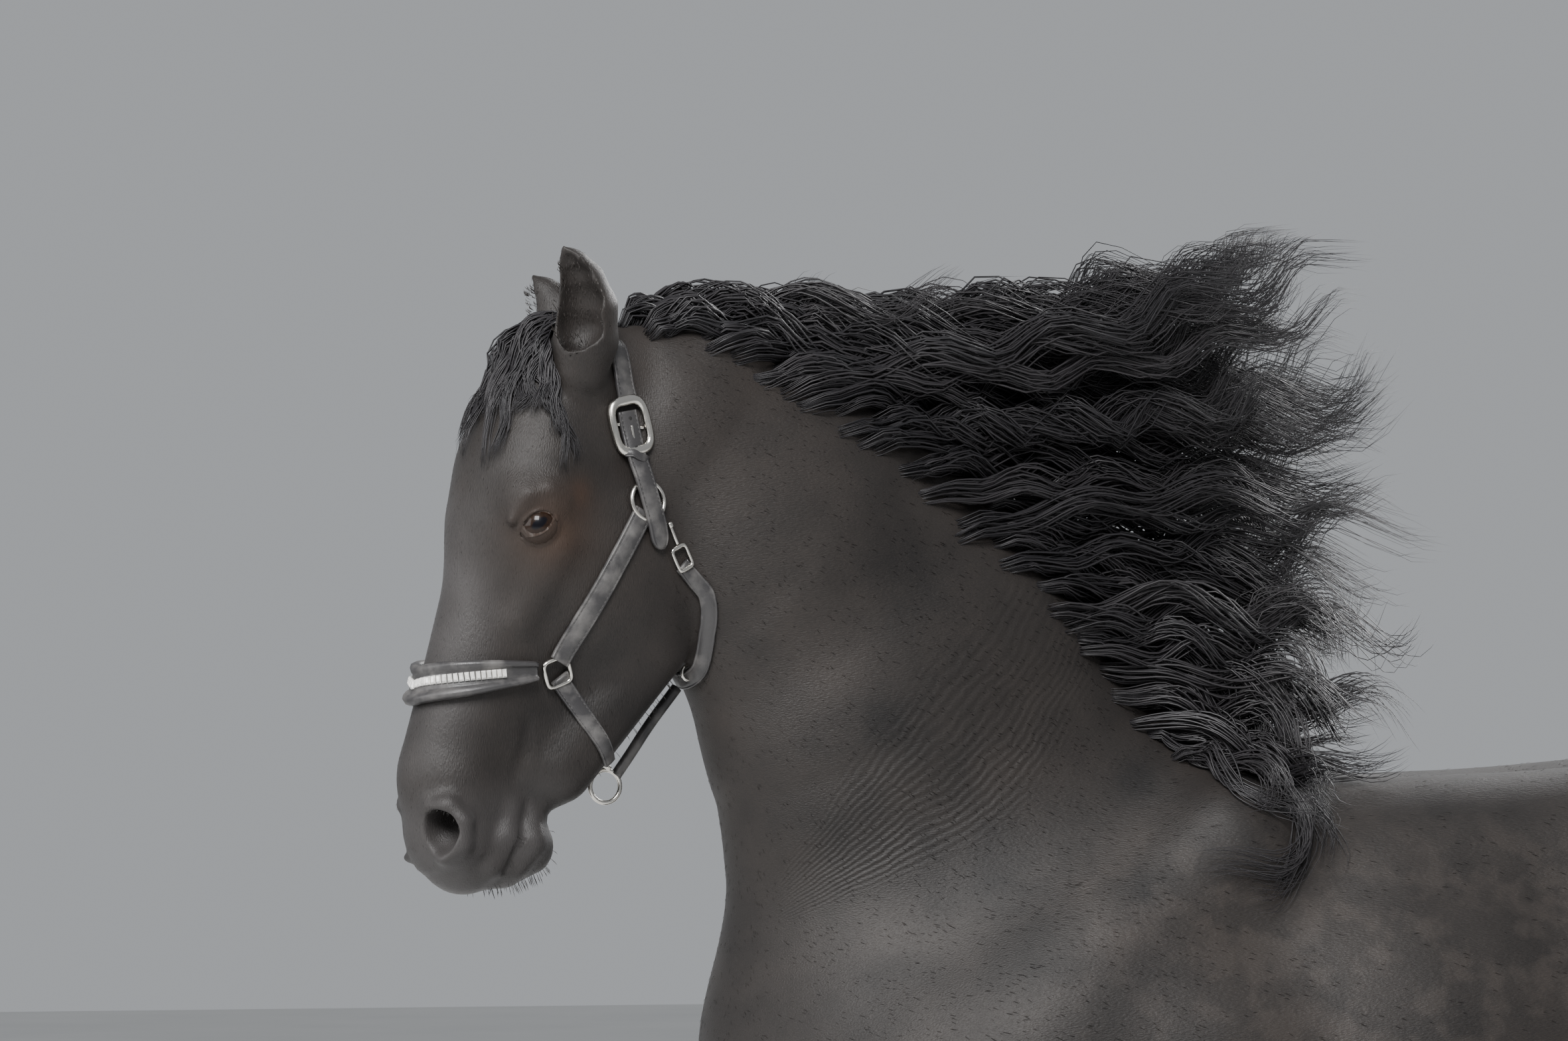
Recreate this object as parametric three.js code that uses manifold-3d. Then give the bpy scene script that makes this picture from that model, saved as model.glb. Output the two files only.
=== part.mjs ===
// A life-size Friesian horse, standing square, with its neck arched, its mane and tail blown back, and a halter on.
// Millimetres, +Z up. The horse faces -X and its left side is at -Y. The hooves stand on z = 0.

import * as THREE from 'three';
import { mergeVertices } from 'three/addons/utils/BufferGeometryUtils.js';
import Module from 'manifold-3d';

const wasm = await Module();
wasm.setup();

// Driving dimensions

const JOINT_GAP = 0.4;
const POLL_X = -242;
const HEAD_YAW = THREE.MathUtils.degToRad(12);
const YAW_PIVOT_X = 150;
const YAW_RUN = 265;
const LEG_SEAM_Z = 870;
const KNEE_SEAM_Z = 505;
const HOCK_SEAM_Z = 560;
const CORONET_Z = 88;
const FORE_Y = 165;
const HIND_Y = 168;
const EYE = { x: POLL_X - 105, y: 78, z: 1907, radius: 21 };
const LIDS = { thickness: 4.5, reach: 24, upper: 11.5, lower: 10 };
const MOUTH_LINE = { width: 2.4, depth: 6 };
const CREST_DEPTH = 64;
const RIGHT_EAR = { lowersFrom: 2092, turnsBack: 26 };
const STRAP = { width: 24, thickness: 4.5, sunk: 1 };
const WIRE = 2.6;
const LOCK_SIDES = 3;
const ORIGIN_X = 742.4;

// Seams between the parts of the body, each a plane through two points of the side view

const NECK_SEAM = { high: [575, 1652], low: [-105, 1285] };
const HEAD_SEAM = { high: [POLL_X + 41, 2150], low: [POLL_X + 111, 1735] };
const DOCK_SEAM = { high: [1618, 1640], low: [1618, 1490] };

// Small helpers

const V = (x, y, z) => new THREE.Vector3(x, y, z);
const lerp = THREE.MathUtils.lerp;
const smooth = (value, from, to) => {
  const t = THREE.MathUtils.clamp((value - from) / (to - from), 0, 1);
  return t * t * (3 - 2 * t);
};

function seededRandom(seed) {
  let state = seed;
  return (low = 0, high = 1) => {
    state = (state * 1664525 + 1013904223) % 4294967296;
    return low + (high - low) * (state / 4294967296);
  };
}

// Muscle and bone masses: tapered capsules between two points, flattened sideways, melted together

function mass(from, to, startRadius, endRadius, flat = 1, blend = 60) {
  const along = V(...to).sub(V(...from));
  return { from, along: along.toArray(), span: along.lengthSq() || 1, startRadius, endRadius, flat, blend };
}

function distanceToMass(m, x, y, z) {
  const px = x - m.from[0];
  const py = y - m.from[1];
  const pz = z - m.from[2];
  const dot = px * m.along[0] + py * m.along[1] + pz * m.along[2];
  const t = Math.min(1, Math.max(0, dot / m.span));
  const qy = (py - t * m.along[1]) / m.flat;
  return Math.hypot(px - t * m.along[0], qy, pz - t * m.along[2]) - lerp(m.startRadius, m.endRadius, t);
}

function melt(a, b, k) {
  const h = Math.max(k - Math.abs(a - b), 0) / k;
  return Math.min(a, b) - h * h * k / 4;
}

function fieldOf(masses, hollows = []) {
  return (x, y, z) => {
    const side = Math.abs(y);
    let d = 1e6;
    for (const m of masses) d = melt(d, distanceToMass(m, x, side, z), m.blend);
    for (const m of hollows) d = -melt(-d, distanceToMass(m, x, side, z), m.blend);
    return d;
  };
}

// The trunk, at the horse's real place

const TRUNK = [
  mass([330, 0, 1238], [700, 0, 1240], 348, 347, 0.84),
  mass([700, 0, 1240], [1040, 0, 1298], 347, 315, 0.9, 90),
  mass([1040, 0, 1298], [1290, 0, 1345], 315, 285, 0.92, 90),
  mass([400, 0, 1490], [590, 0, 1500], 150, 122, 0.55, 80),
  mass([620, 92, 1530], [1180, 104, 1556], 84, 92, 1, 70),
  mass([1180, 116, 1455], [1450, 88, 1405], 192, 150, 1, 80),
  mass([1185, 196, 1505], [1225, 200, 1480], 62, 58, 1, 80),
  mass([1430, 128, 1390], [1490, 128, 1230], 160, 122, 0.9, 80),
  mass([1370, 158, 1290], [1330, 166, 1060], 196, 140, 0.75, 80),
  mass([1490, 70, 1420], [1590, 62, 1390], 90, 50, 0.9, 80),
  mass([1560, 104, 1320], [1510, 150, 1040], 84, 76, 0.9, 70),
  mass([1215, 175, 1080], [1225, 178, 1020], 100, 92, 0.9, 60),
  mass([1440, 0, 1474], [1560, 0, 1518], 100, 66, 1, 60),
  mass([1470, 0, 1380], [1490, 0, 1240], 105, 88, 1, 60),
  mass([76, 0, 1315], [135, 0, 1110], 162, 140, 1.15, 80),
  mass([42, 92, 1200], [180, 98, 1015], 110, 92, 1, 60),
  mass([470, 110, 1540], [75, 158, 1160], 92, 112, 1, 80),
  mass([430, 160, 1300], [280, 172, 1030], 125, 100, 1, 70),
];

const NECK = [
  mass([240, 0, 1455], [145, 0, 1690], 318, 243, 0.52, 90),
  mass([145, 0, 1690], [0, 0, 1880], 243, 180, 0.5, 50),
  mass([0, 0, 1880], [-130, 0, 1985], 180, 137, 0.56, 50),
];

// A run of masses from station to station, each station an [x, y, z, radius]

function chain(stations, flat = 1, blend = 10, startX = POLL_X) {
  return stations.slice(1).map((end, i) => {
    const [ax, ay, az, startRadius] = stations[i];
    const [bx, by, bz, endRadius] = end;
    return mass([ax + startX, ay, az], [bx + startX, by, bz], startRadius, endRadius, flat, blend);
  });
}

const CREST_LINE = [
  [-205, 0, 2092, 31], [-99, 0, 2091, 31], [14, 0, 2051, 32], [128, 0, 1985, 33], [242, 0, 1897, 34],
  [355, 0, 1785, 36], [460, 0, 1680, 38], [530, 0, 1618, 36],
];
const CREST = chain(CREST_LINE, 1.1, 40, 0);

// The head, with x counted from the poll

const SKULL = [
  [[-38, 0, 2050], [-50, 0, 1990], 76, 88, 0.86, 40],
  [[-84, 0, 2020], [-114, 0, 1905], 40, 43, 1.5, 40],
  [[-75, 0, 1945], [-70, 0, 1890], 84, 84, 1.02, 40],
  [[-128, 0, 1905], [-188, 0, 1640], 35, 31, 1.05, 40],
  [[-70, 0, 1850], [-165, 0, 1645], 80, 60, 0.76, 40],
  [[-6, 40, 1880], [4, 38, 1843], 94, 98, 0.42, 30],
  [[50, 32, 1768], [-52, 26, 1640], 41, 37, 0.7, 30],
  [[-40, 0, 1790], [-114, 0, 1594], 75, 48, 0.62, 40],
  [[-172, 0, 1604], [-173, 0, 1572], 52, 52, 0.98, 36],
  [[-192, 36, 1578], [-186, 36, 1560], 22, 20, 1, 20],
  [[-163, 0, 1548], [-160, 0, 1540], 42, 37, 1.05, 24],
  [[-88, 0, 1556], [-112, 0, 1538], 36, 29, 0.95, 16],
  [[-118, 0, 1560], [-140, 0, 1548], 34, 34, 1.0, 20],
  [[-114, 70, 1934], [-94, 74, 1932], 24, 23, 1, 26],
  [[-80, 72, 1880], [-112, 52, 1800], 11, 7, 1, 30],
];

const SKULL_MASSES = SKULL.map(([from, to, ...rest]) => {
  const place = ([x, y, z]) => [x + POLL_X, y, z];
  return mass(place(from), place(to), ...rest);
});

const EAR_LINE = [
  [-44, 54, 2074, 32], [-40, 62, 2108, 34], [-41, 69, 2143, 31], [-50, 74, 2172, 23],
  [-63, 78, 2192, 13], [-75, 80, 2207, 3],
];
const EAR_CUP_LINE = [
  [-54, 68, 2096, 14], [-53, 76, 2120, 23], [-55, 82, 2148, 21], [-63, 85, 2174, 14],
  [-73, 86, 2190, 8], [-82, 87, 2203, 3],
];
const NOSTRIL_RIMS = chain([
  [-214, 36, 1602, 5], [-200, 50, 1602, 7], [-186, 57, 1584, 8], [-187, 56, 1562, 7],
  [-203, 46, 1546, 6],
], 1, 18);
const LID_FOLD = chain([
  [-136, 80, 1912, 5], [-120, 84, 1938, 6], [-98, 88, 1945, 6], [-80, 88, 1934, 5],
], 1, 12);

// The legs, at their real place; the left and the right one are alike

const FORELEG = [
  mass([310, FORE_Y, 1060], [292, FORE_Y + 3, 900], 106, 92, 0.86, 60),
  mass([292, FORE_Y + 3, 900], [280, FORE_Y, 640], 88, 50, 0.86, 50),
  mass([278, FORE_Y, 590], [276, FORE_Y, 505], 51, 44, 0.95, 40),
  mass([286, FORE_Y, 500], [288, FORE_Y, 270], 37, 34, 0.74, 30),
  mass([286, FORE_Y, 232], [284, FORE_Y, 212], 44, 42, 0.86, 24),
  mass([276, FORE_Y, 200], [248, FORE_Y, 100], 33, 40, 1, 24),
];

const HINDLEG = [
  mass([1240, HIND_Y + 8, 1060], [1290, HIND_Y + 8, 930], 128, 108, 0.8, 60),
  mass([1300, HIND_Y + 8, 930], [1482, HIND_Y, 690], 106, 54, 0.78, 50),
  mass([1505, 154, 1040], [1500, HIND_Y, 880], 74, 52, 0.85, 60),
  mass([1470, HIND_Y + 4, 900], [1582, HIND_Y, 705], 48, 21, 0.8, 50),
  mass([1586, HIND_Y, 696], [1540, HIND_Y, 600], 27, 44, 0.9, 30),
  mass([1492, HIND_Y, 660], [1530, HIND_Y, 560], 50, 44, 0.9, 40),
  mass([1540, HIND_Y, 560], [1536, HIND_Y, 280], 42, 37, 0.76, 30),
  mass([1532, HIND_Y, 236], [1530, HIND_Y, 214], 46, 44, 0.86, 24),
  mass([1522, HIND_Y, 200], [1494, HIND_Y, 100], 35, 41, 1, 24),
];

const DOCK_LINE = [
  [1545, 0, 1526, 58], [1620, 0, 1536, 48], [1682, 0, 1500, 40], [1712, 0, 1430, 34],
  [1722, 0, 1345, 26], [1724, 0, 1270, 16],
];

const bodyField = fieldOf([...TRUNK, ...chain(DOCK_LINE, 1.05, 40, 0), ...NECK, ...CREST]);
const bareHeadField = fieldOf(SKULL_MASSES);
const forelegField = fieldOf(FORELEG);
const hindlegField = fieldOf(HINDLEG);

// Meshes

function geometryOf(positions, indices) {
  const geometry = new THREE.BufferGeometry();
  geometry.setAttribute('position', new THREE.Float32BufferAttribute(positions, 3));
  geometry.setIndex(indices);
  return geometry;
}

function solidOf(geometry) {
  const bare = geometry.clone();
  bare.deleteAttribute('normal');
  bare.deleteAttribute('uv');
  const merged = mergeVertices(bare, 1e-4);
  const mesh = new wasm.Mesh({
    numProp: 3,
    vertProperties: new Float32Array(merged.attributes.position.array),
    triVerts: new Uint32Array(merged.index.array),
  });
  return new wasm.Manifold(mesh);
}

function geometryFrom(solid) {
  const mesh = solid.getMesh();
  const positions = [];
  for (let i = 0; i < mesh.numVert; i += 1) {
    for (let k = 0; k < 3; k += 1) positions.push(mesh.vertProperties[i * mesh.numProp + k]);
  }
  return geometryOf(positions, [...mesh.triVerts]);
}

function largestOf(solid) {
  const pieces = solid.decompose();
  return pieces.reduce((best, piece) => (piece.volume() > best.volume() ? piece : best));
}

function seamNormal(seam) {
  const dx = seam.high[0] - seam.low[0];
  const dz = seam.high[1] - seam.low[1];
  const length = Math.hypot(dx, dz);
  return [-dz / length, dx / length];
}

function heightOverSeam(seam, x, z) {
  const [nx, nz] = seamNormal(seam);
  return nx * (x - seam.low[0]) + nz * (z - seam.low[1]);
}

// Keeps the part of a solid in front of (side 1) or behind (side -1) a seam, half a gap away from it

function besideSeam(solid, seam, side) {
  const [nx, nz] = seamNormal(seam);
  const offset = side * (nx * seam.low[0] + nz * seam.low[1]) + JOINT_GAP / 2;
  return solid.trimByPlane([nx * side, 0, nz * side], offset);
}

// Takes the head's side of its seam off the neck, down to the throat

function behindHead(solid) {
  const block = new THREE.BoxGeometry(900, 900, 800).translate(-300, 0, HEAD_SEAM.low[1] + 400);
  const [nx, nz] = seamNormal(HEAD_SEAM);
  const offset = nx * HEAD_SEAM.low[0] + nz * HEAD_SEAM.low[1] - JOINT_GAP / 2;
  return solid.subtract(solidOf(block).trimByPlane([nx, 0, nz], offset));
}

const aboveLevel = (solid, z) => solid.trimByPlane([0, 0, 1], z);
const belowLevel = (solid, z) => solid.trimByPlane([0, 0, -1], -z);

// How far a ray runs inside a field before it comes out

function reach(field, origin, direction, limit, step) {
  const at = (t) => field(origin.x + direction.x * t, origin.y + direction.y * t, origin.z + direction.z * t);
  let inside = 0;
  let outside = step;
  while (outside < limit && at(outside) < 0) {
    inside = outside;
    outside += step;
  }
  if (outside >= limit) return limit;
  for (let i = 0; i < 12; i += 1) {
    const middle = (inside + outside) / 2;
    if (at(middle) < 0) inside = middle;
    else outside = middle;
  }
  return (inside + outside) / 2;
}

// A closed skin of rings round a spine, each ring point on the field's surface

function ringLoft(centres, u, v, segments, field, limit = 1200, step = 8) {
  const positions = [];
  const indices = [];
  for (const centre of centres) {
    for (let j = 0; j < segments; j += 1) {
      const angle = 2 * Math.PI * j / segments;
      const ray = u.clone().multiplyScalar(Math.cos(angle)).addScaledVector(v, Math.sin(angle));
      const point = centre.clone().addScaledVector(ray, reach(field, centre, ray, limit, step));
      positions.push(...point.toArray());
    }
  }
  const poles = [[0, 1], [centres.length - 1, centres.length - 2]].map(([end, next]) => {
    const out = centres[end].clone().sub(centres[next]).normalize();
    return centres[end].clone().addScaledVector(out, reach(field, centres[end], out, limit / 4, step));
  });
  for (const pole of poles) positions.push(...pole.toArray());
  const first = centres.length * segments;
  for (let j = 0; j < segments; j += 1) {
    const next = (j + 1) % segments;
    indices.push(first, next, j);
    const base = (centres.length - 1) * segments;
    indices.push(first + 1, base + j, base + next);
    for (let i = 0; i + 1 < centres.length; i += 1) {
      const a = i * segments;
      const b = a + segments;
      indices.push(a + j, a + next, b + next, a + j, b + next, b + j);
    }
  }
  return outward(geometryOf(positions, indices));
}

// Turns a closed geometry's faces outward

function outward(geometry) {
  const p = geometry.attributes.position;
  const index = geometry.index.array;
  const a = V(0, 0, 0);
  const b = V(0, 0, 0);
  const c = V(0, 0, 0);
  let volume = 0;
  for (let i = 0; i < index.length; i += 3) {
    a.fromBufferAttribute(p, index[i]);
    b.fromBufferAttribute(p, index[i + 1]);
    c.fromBufferAttribute(p, index[i + 2]);
    volume += a.dot(b.cross(c));
  }
  if (volume < 0) {
    for (let i = 0; i < index.length; i += 3) [index[i], index[i + 1]] = [index[i + 1], index[i]];
  }
  return geometry;
}

// The bend of the neck towards the horse's left: none at the trunk's seam, and whole before the head

function yawed(x, y, z) {
  const angle = HEAD_YAW * smooth(heightOverSeam(NECK_SEAM, x, z), 0, YAW_RUN);
  const dx = x - YAW_PIVOT_X;
  return [YAW_PIVOT_X + dx * Math.cos(angle) - y * Math.sin(angle), dx * Math.sin(angle) + y * Math.cos(angle), z];
}

// The right ear turns back and lies lower, with the flesh round its base

function rightEarTurned(x, y, z) {
  const mine = smooth(y, 20, 46) * (1 - smooth(x, POLL_X - 4, POLL_X + 60));
  const ear = mine * Math.max(0, z - RIGHT_EAR.lowersFrom);
  const base = mine * smooth(z, 2030, 2110);
  return [x + 0.08 * ear + RIGHT_EAR.turnsBack * base, y - 0.04 * ear, z - 0.24 * ear];
}

function mapped(geometry, map) {
  const p = geometry.attributes.position;
  for (let i = 0; i < p.count; i += 1) p.setXYZ(i, ...map(p.getX(i), p.getY(i), p.getZ(i)));
  return geometry;
}

// Trunk, neck and head

const X_AXIS = V(1, 0, 0);
const Y_AXIS = V(0, 1, 0);
const Z_AXIS = V(0, 0, 1);

function spineStations(points, count) {
  const curve = new THREE.CatmullRomCurve3(points.map(([x, z]) => V(x, 0, z)));
  return Array.from({ length: count }, (_, i) => curve.getPointAt((1 - Math.cos(Math.PI * i / (count - 1))) / 2));
}

// A field whose surface stands proud of another's, for cutting a neighbour clear of it

const proud = (field, by) => (x, y, z) => field(x, y, z) - by;

// How far out to the side a field reaches at a place of the side view

const sideReach = (field, x, z) => reach(field, V(x, 0, z), Y_AXIS, 200, 3);

// A run of masses laid on the skull's side, each station an [x, z, radius]

function sideChain(stations, sunk, blend) {
  const placed = stations.map(([x, z, radius]) => {
    const y = sideReach(bareHeadField, x + POLL_X, z) - sunk;
    return [x, y, z, radius];
  });
  return chain(placed, 1, blend);
}

const LIPS = [
  ...sideChain([[-86, 1588, 11], [-92, 1562, 13], [-106, 1536, 12]], 7, 18),
  ...sideChain([[-116, 1596, 9], [-124, 1566, 10], [-138, 1536, 10]], 6, 18),
];
const FACE = [...SKULL_MASSES, ...NOSTRIL_RIMS, ...LIPS, ...LID_FOLD];
const headField = fieldOf([...FACE, ...NECK.slice(1), ...CREST]);
const coatField = fieldOf([...FACE, ...NECK, ...CREST]);

function slopeOf(field, { x, y, z }) {
  const e = 1.5;
  const along = (dx, dy, dz) => (field(x + dx, y + dy, z + dz) - field(x - dx, y - dy, z - dz)) / (2 * e);
  return V(along(e, 0, 0), along(0, e, 0), along(0, 0, e));
}

// Moves a point onto a field's surface, or a lift above it

function settledOn(field, start, lift = 0) {
  const point = start.clone();
  for (let i = 0; i < 6; i += 1) {
    const slope = slopeOf(field, point);
    point.addScaledVector(slope, (lift - field(point.x, point.y, point.z)) / Math.max(slope.lengthSq(), 0.1));
  }
  return point;
}

function trunkSolid(field) {
  const spine = spineStations([[-72, 1275], [250, 1265], [900, 1275], [1400, 1340], [1620, 1380]], 22);
  return solidOf(ringLoft(spine, Y_AXIS, Z_AXIS, 22, field, 1200, 10));
}

function neckSolid(field) {
  const spine = [[330, 1300], [250, 1400], [205, 1500], [170, 1590], [135, 1680], [90, 1760], [40, 1835], [-20, 1900],
    [-85, 1950], [-155, 1990], [-235, 2020]];
  const centres = spine.map(([x, z]) => V(x, 0, z));
  const positions = centres.map((centre, i) => {
    const ahead = centres[Math.min(i + 1, centres.length - 1)];
    const behind = centres[Math.max(i - 1, 0)];
    return ahead.clone().sub(behind).normalize().cross(Y_AXIS);
  });
  return solidOf(tiltedLoft(centres, positions, 24, field, 420));
}

// The same as ringLoft, with each ring's own up direction

function tiltedLoft(centres, ups, segments, field, limit) {
  const bent = centres.map((centre, i) => {
    const above = centre.clone().add(ups[i]);
    return ringLoft([centre, above], Y_AXIS, ups[i], segments, field, limit);
  });
  const positions = bent.flatMap((ring) => [...ring.attributes.position.array.slice(0, segments * 3)]);
  const count = centres.length;
  positions.push(...centres[0].toArray(), ...centres[count - 1].toArray());
  const indices = [];
  for (let j = 0; j < segments; j += 1) {
    const next = (j + 1) % segments;
    indices.push(count * segments, next, j);
    const base = (count - 1) * segments;
    indices.push(count * segments + 1, base + j, base + next);
    for (let i = 0; i + 1 < count; i += 1) {
      const a = i * segments;
      const b = a + segments;
      indices.push(a + j, a + next, b + next, a + j, b + next, b + j);
    }
  }
  return outward(geometryOf(positions, indices));
}

function headSolid(field) {
  const levels = [2112, 2095, 2070, 2045, 2015, 1985, 1960, 1942, 1925, 1908, 1890, 1868, 1840, 1805, 1768,
    1730, 1700, 1670, 1644, 1624, 1608, 1595, 1583, 1571, 1558, 1545, 1532, 1519];
  const axis = (z) => POLL_X + lerp(-150, -38, smooth(z, 1500, 2100));
  const centres = levels.map((z) => V(axis(z), 0, z));
  return solidOf(ringLoft(centres, X_AXIS, Y_AXIS, 26, field, 190, 4));
}

// The legs: rings at level heights round the leg's own line, with the stride added below the trunk

function strideOf(step) {
  return (x, y, z) => [x + step * Math.max(0, 1 - z / LEG_SEAM_Z), y, z];
}

function legSolid(line, levels, field, side) {
  const curve = (z) => {
    const i = Math.max(0, line.findIndex((point, k) => k + 1 < line.length && z >= line[k + 1][1]));
    const t = THREE.MathUtils.clamp((line[i][1] - z) / (line[i][1] - line[i + 1][1]), 0, 1);
    return lerp(line[i][0], line[i + 1][0], t);
  };
  const y = line === FORE_LINE ? FORE_Y : HIND_Y;
  const centres = levels.map((z) => V(curve(z), side * y, z));
  return solidOf(ringLoft(centres, X_AXIS, Y_AXIS, 10, field, 170, 4));
}

const FORE_LINE = [[308, 1060], [292, 900], [278, 600], [277, 520], [286, 440], [286, 230], [276, 200], [248, 60]];
const HIND_LINE = [[1262, 1060], [1300, 930], [1490, 690], [1540, 590], [1538, 280], [1530, 214], [1494, 60]];
const FORE_LEVELS = [1060, 960, 870, 780, 700, 630, 585, 545, 515, 480, 430, 350, 275, 245, 220, 198, 165, 130,
  100, 70];
const HIND_LEVELS = [1060, 960, 870, 800, 735, 700, 670, 635, 600, 560, 510, 430, 350, 285, 255, 225, 200, 170,
  130, 100, 70];

// A hoof: a slanted wall on a flat sole

function hoofSolid(toeX, y, length, width) {
  const levels = [[0, 0, 1], [22, 5, 0.97], [64, 17, 0.83], [CORONET_Z - JOINT_GAP, 24, 0.75]];
  const sides = 16;
  const positions = [];
  for (const [z, back, scale] of levels) {
    for (let j = 0; j < sides; j += 1) {
      const angle = 2 * Math.PI * j / sides;
      const heel = Math.cos(angle) > 0 ? 0.86 : 1;
      const x = toeX + length / 2 + back * 0.7 + Math.cos(angle) * heel * scale * length / 2;
      positions.push(x, y + Math.sin(angle) * scale * width / 2, z);
    }
  }
  return solidOf(prism(positions, sides));
}

// Closes a stack of rings with a fan at each end

function prism(positions, sides) {
  const rings = positions.length / 3 / sides;
  const indices = [];
  for (let i = 0; i + 1 < rings; i += 1) {
    for (let j = 0; j < sides; j += 1) {
      const next = (j + 1) % sides;
      const a = i * sides;
      const b = a + sides;
      indices.push(a + j, a + next, b + next, a + j, b + next, b + j);
    }
  }
  const top = (rings - 1) * sides;
  for (let j = 1; j + 1 < sides; j += 1) indices.push(0, j + 1, j, top, top + j, top + j + 1);
  return outward(geometryOf(positions, indices));
}

// A lock of hair: a flat strip of three sides that narrows to a point, along a route from root to tip

function lock(route, across, width, thickness) {
  const points = route;
  const positions = [];
  const last = points.length - 1;
  points.forEach((point, i) => {
    if (i === last) return;
    const t = i / last;
    const along = points[i + 1].clone().sub(points[Math.max(i - 1, 0)]).normalize();
    const side = across.clone().addScaledVector(along, -across.dot(along)).normalize();
    const flat = along.clone().cross(side);
    const fullness = Math.min(1, 0.42 + 1.6 * t) * (1 - t ** 2.6) ** 0.8;
    const w = side.multiplyScalar(width / 2 * fullness);
    const h = flat.multiplyScalar(Math.max(thickness / 2 * fullness, 0.5));
    const base = point.clone().addScaledVector(h, -0.7);
    positions.push(...base.clone().add(w).toArray(), ...point.clone().add(h).toArray(), ...base.sub(w).toArray());
  });
  const tip = positions.length / 3;
  positions.push(...points[last].toArray());
  const indices = [0, 2, 1];
  for (let i = 0; i < last; i += 1) {
    for (let j = 0; j < LOCK_SIDES; j += 1) {
      const a = i * LOCK_SIDES + j;
      const b = i * LOCK_SIDES + (j + 1) % LOCK_SIDES;
      if (i === last - 1) indices.push(a, b, tip);
      else indices.push(a, b, b + LOCK_SIDES, a, b + LOCK_SIDES, a + LOCK_SIDES);
    }
  }
  return solidOf(outward(geometryOf(positions, indices)));
}

function bezier(a, b, c, d, steps, sway = () => V(0, 0, 0)) {
  const curve = new THREE.CubicBezierCurve3(a, b, c, d);
  return Array.from({ length: steps + 1 }, (_, i) => curve.getPoint(i / steps).add(sway(i / steps)));
}

// The mane: guide routes from the poll to the withers, each with its root, two handles and tip

const MANE_GUIDES = [
  [[-229, -30, 2122], [-184, -20, 2140], [-66, -20, 2142], [188, -10, 2118]],
  [[-164, -40, 2096], [-49, -25, 2124], [237, -20, 2116], [638, 0, 2150]],
  [[-74, -46, 2052], [73, -30, 2090], [400, -20, 2076], [695, 0, 2216]],
  [[16, -56, 1988], [155, -40, 2022], [441, -20, 2040], [732, 0, 2092]],
  [[98, -64, 1926], [237, -50, 1956], [482, -25, 1980], [747, 0, 1990]],
  [[196, -76, 1846], [319, -66, 1870], [523, -45, 1890], [717, -10, 1874]],
  [[286, -86, 1776], [400, -84, 1780], [555, -64, 1790], [706, -30, 1770]],
  [[366, -100, 1690], [452, -106, 1688], [560, -104, 1660], [650, -90, 1612]],
  [[450, -122, 1600], [484, -150, 1580], [520, -186, 1552], [560, -206, 1506]],
];

function maneGuide(s, place) {
  const k = THREE.MathUtils.clamp(s, 0, 1) * (MANE_GUIDES.length - 1);
  const low = Math.min(Math.floor(k), MANE_GUIDES.length - 2);
  return V(...MANE_GUIDES[low][place]).lerp(V(...MANE_GUIDES[low + 1][place]), k - low);
}

// Locks in layers from the near flank of the crest to its far one, each rooted in the neck and waving to its tip

function maneLocks(count, layers) {
  const draw = seededRandom(7);
  return Array.from({ length: count }, (_, i) => {
    const s = lerp(0.09, 1, (i + 0.5) / count);
    const high = (i % layers) / (layers - 1) * 1.2 + draw(0, 0.12);
    const ahead = maneGuide(s + 0.02, 0).sub(maneGuide(s - 0.02, 0)).setY(0).normalize();
    const out = V(-ahead.z, 0, ahead.x).multiplyScalar(Math.min(high, 1) * CREST_DEPTH);
    const scatter = (loose) => V(draw(-1, 1), draw(-1, 1), draw(-1, 1)).multiplyScalar(loose);
    const rises = [1, 0.4, 0.1, 0];
    const ends = rises.map((rise, place) => maneGuide(s, place)
      .addScaledVector(out, rise).add(V(0, 60 * high, 0)).add(scatter(16 * place)));
    ends[0] = settledOn(bodyField, ends[0], -4);
    ends[3].x -= draw(0, 130);
    const inward = slopeOf(bodyField, ends[0]).normalize().multiplyScalar(-24);
    const phase = draw(0, 2 * Math.PI);
    const wave = draw(10, 19);
    const sway = (t) => {
      const height = wave * Math.min(1, 2 * t);
      return V(0, Math.sin(11 * t + phase) * wave * 0.5 * t, Math.cos(12 * t + phase) * height);
    };
    const route = [ends[0].clone().add(inward), ...bezier(...ends, 7, sway)];
    return lock(route, V(0, 0.45, 1), draw(42, 54), draw(10, 13));
  });
}

function foreLocks(count) {
  const draw = seededRandom(23);
  return Array.from({ length: count }, (_, i) => {
    const s = (i + 0.5) / count * 2 - 1;
    const skin = settledOn(headField, V(POLL_X - 24 - 20 * Math.abs(s), s * 26, 2124 - 6 * Math.abs(s)), -3);
    const start = skin.clone().add(V(10, -4 * s, -24));
    const mid = skin.clone().add(V(-34, s * 18, 20));
    const late = V(POLL_X - 96, s * 54, 2062);
    const tip = settledOn(headField, V(POLL_X - 116 + 44 * s * s, s * 64, 1990 + draw(-46, 34)), 6);
    const phase = draw(0, 2 * Math.PI);
    const sway = (t) => V(0, Math.cos(10 * t + phase) * 8 * t * (1 - t), 0);
    const curve = bezier(skin, mid, late, tip, 5, sway);
    const lift = 8;
    const low = (point) => headField(...point.toArray()) < lift;
    const clear = curve.map((point, k) => (k && low(point) ? settledOn(headField, point, lift) : point));
    return lock([start, ...clear], Y_AXIS, draw(20, 27), draw(7, 9));
  });
}

function joined(body, locks) {
  return largestOf(wasm.Manifold.union([body, ...locks]));
}

// The tail: a short dock with long locks that lift and fall behind the hocks

const DOCK = new THREE.CatmullRomCurve3(DOCK_LINE.map(([x, y, z]) => V(x, y, z)));

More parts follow.
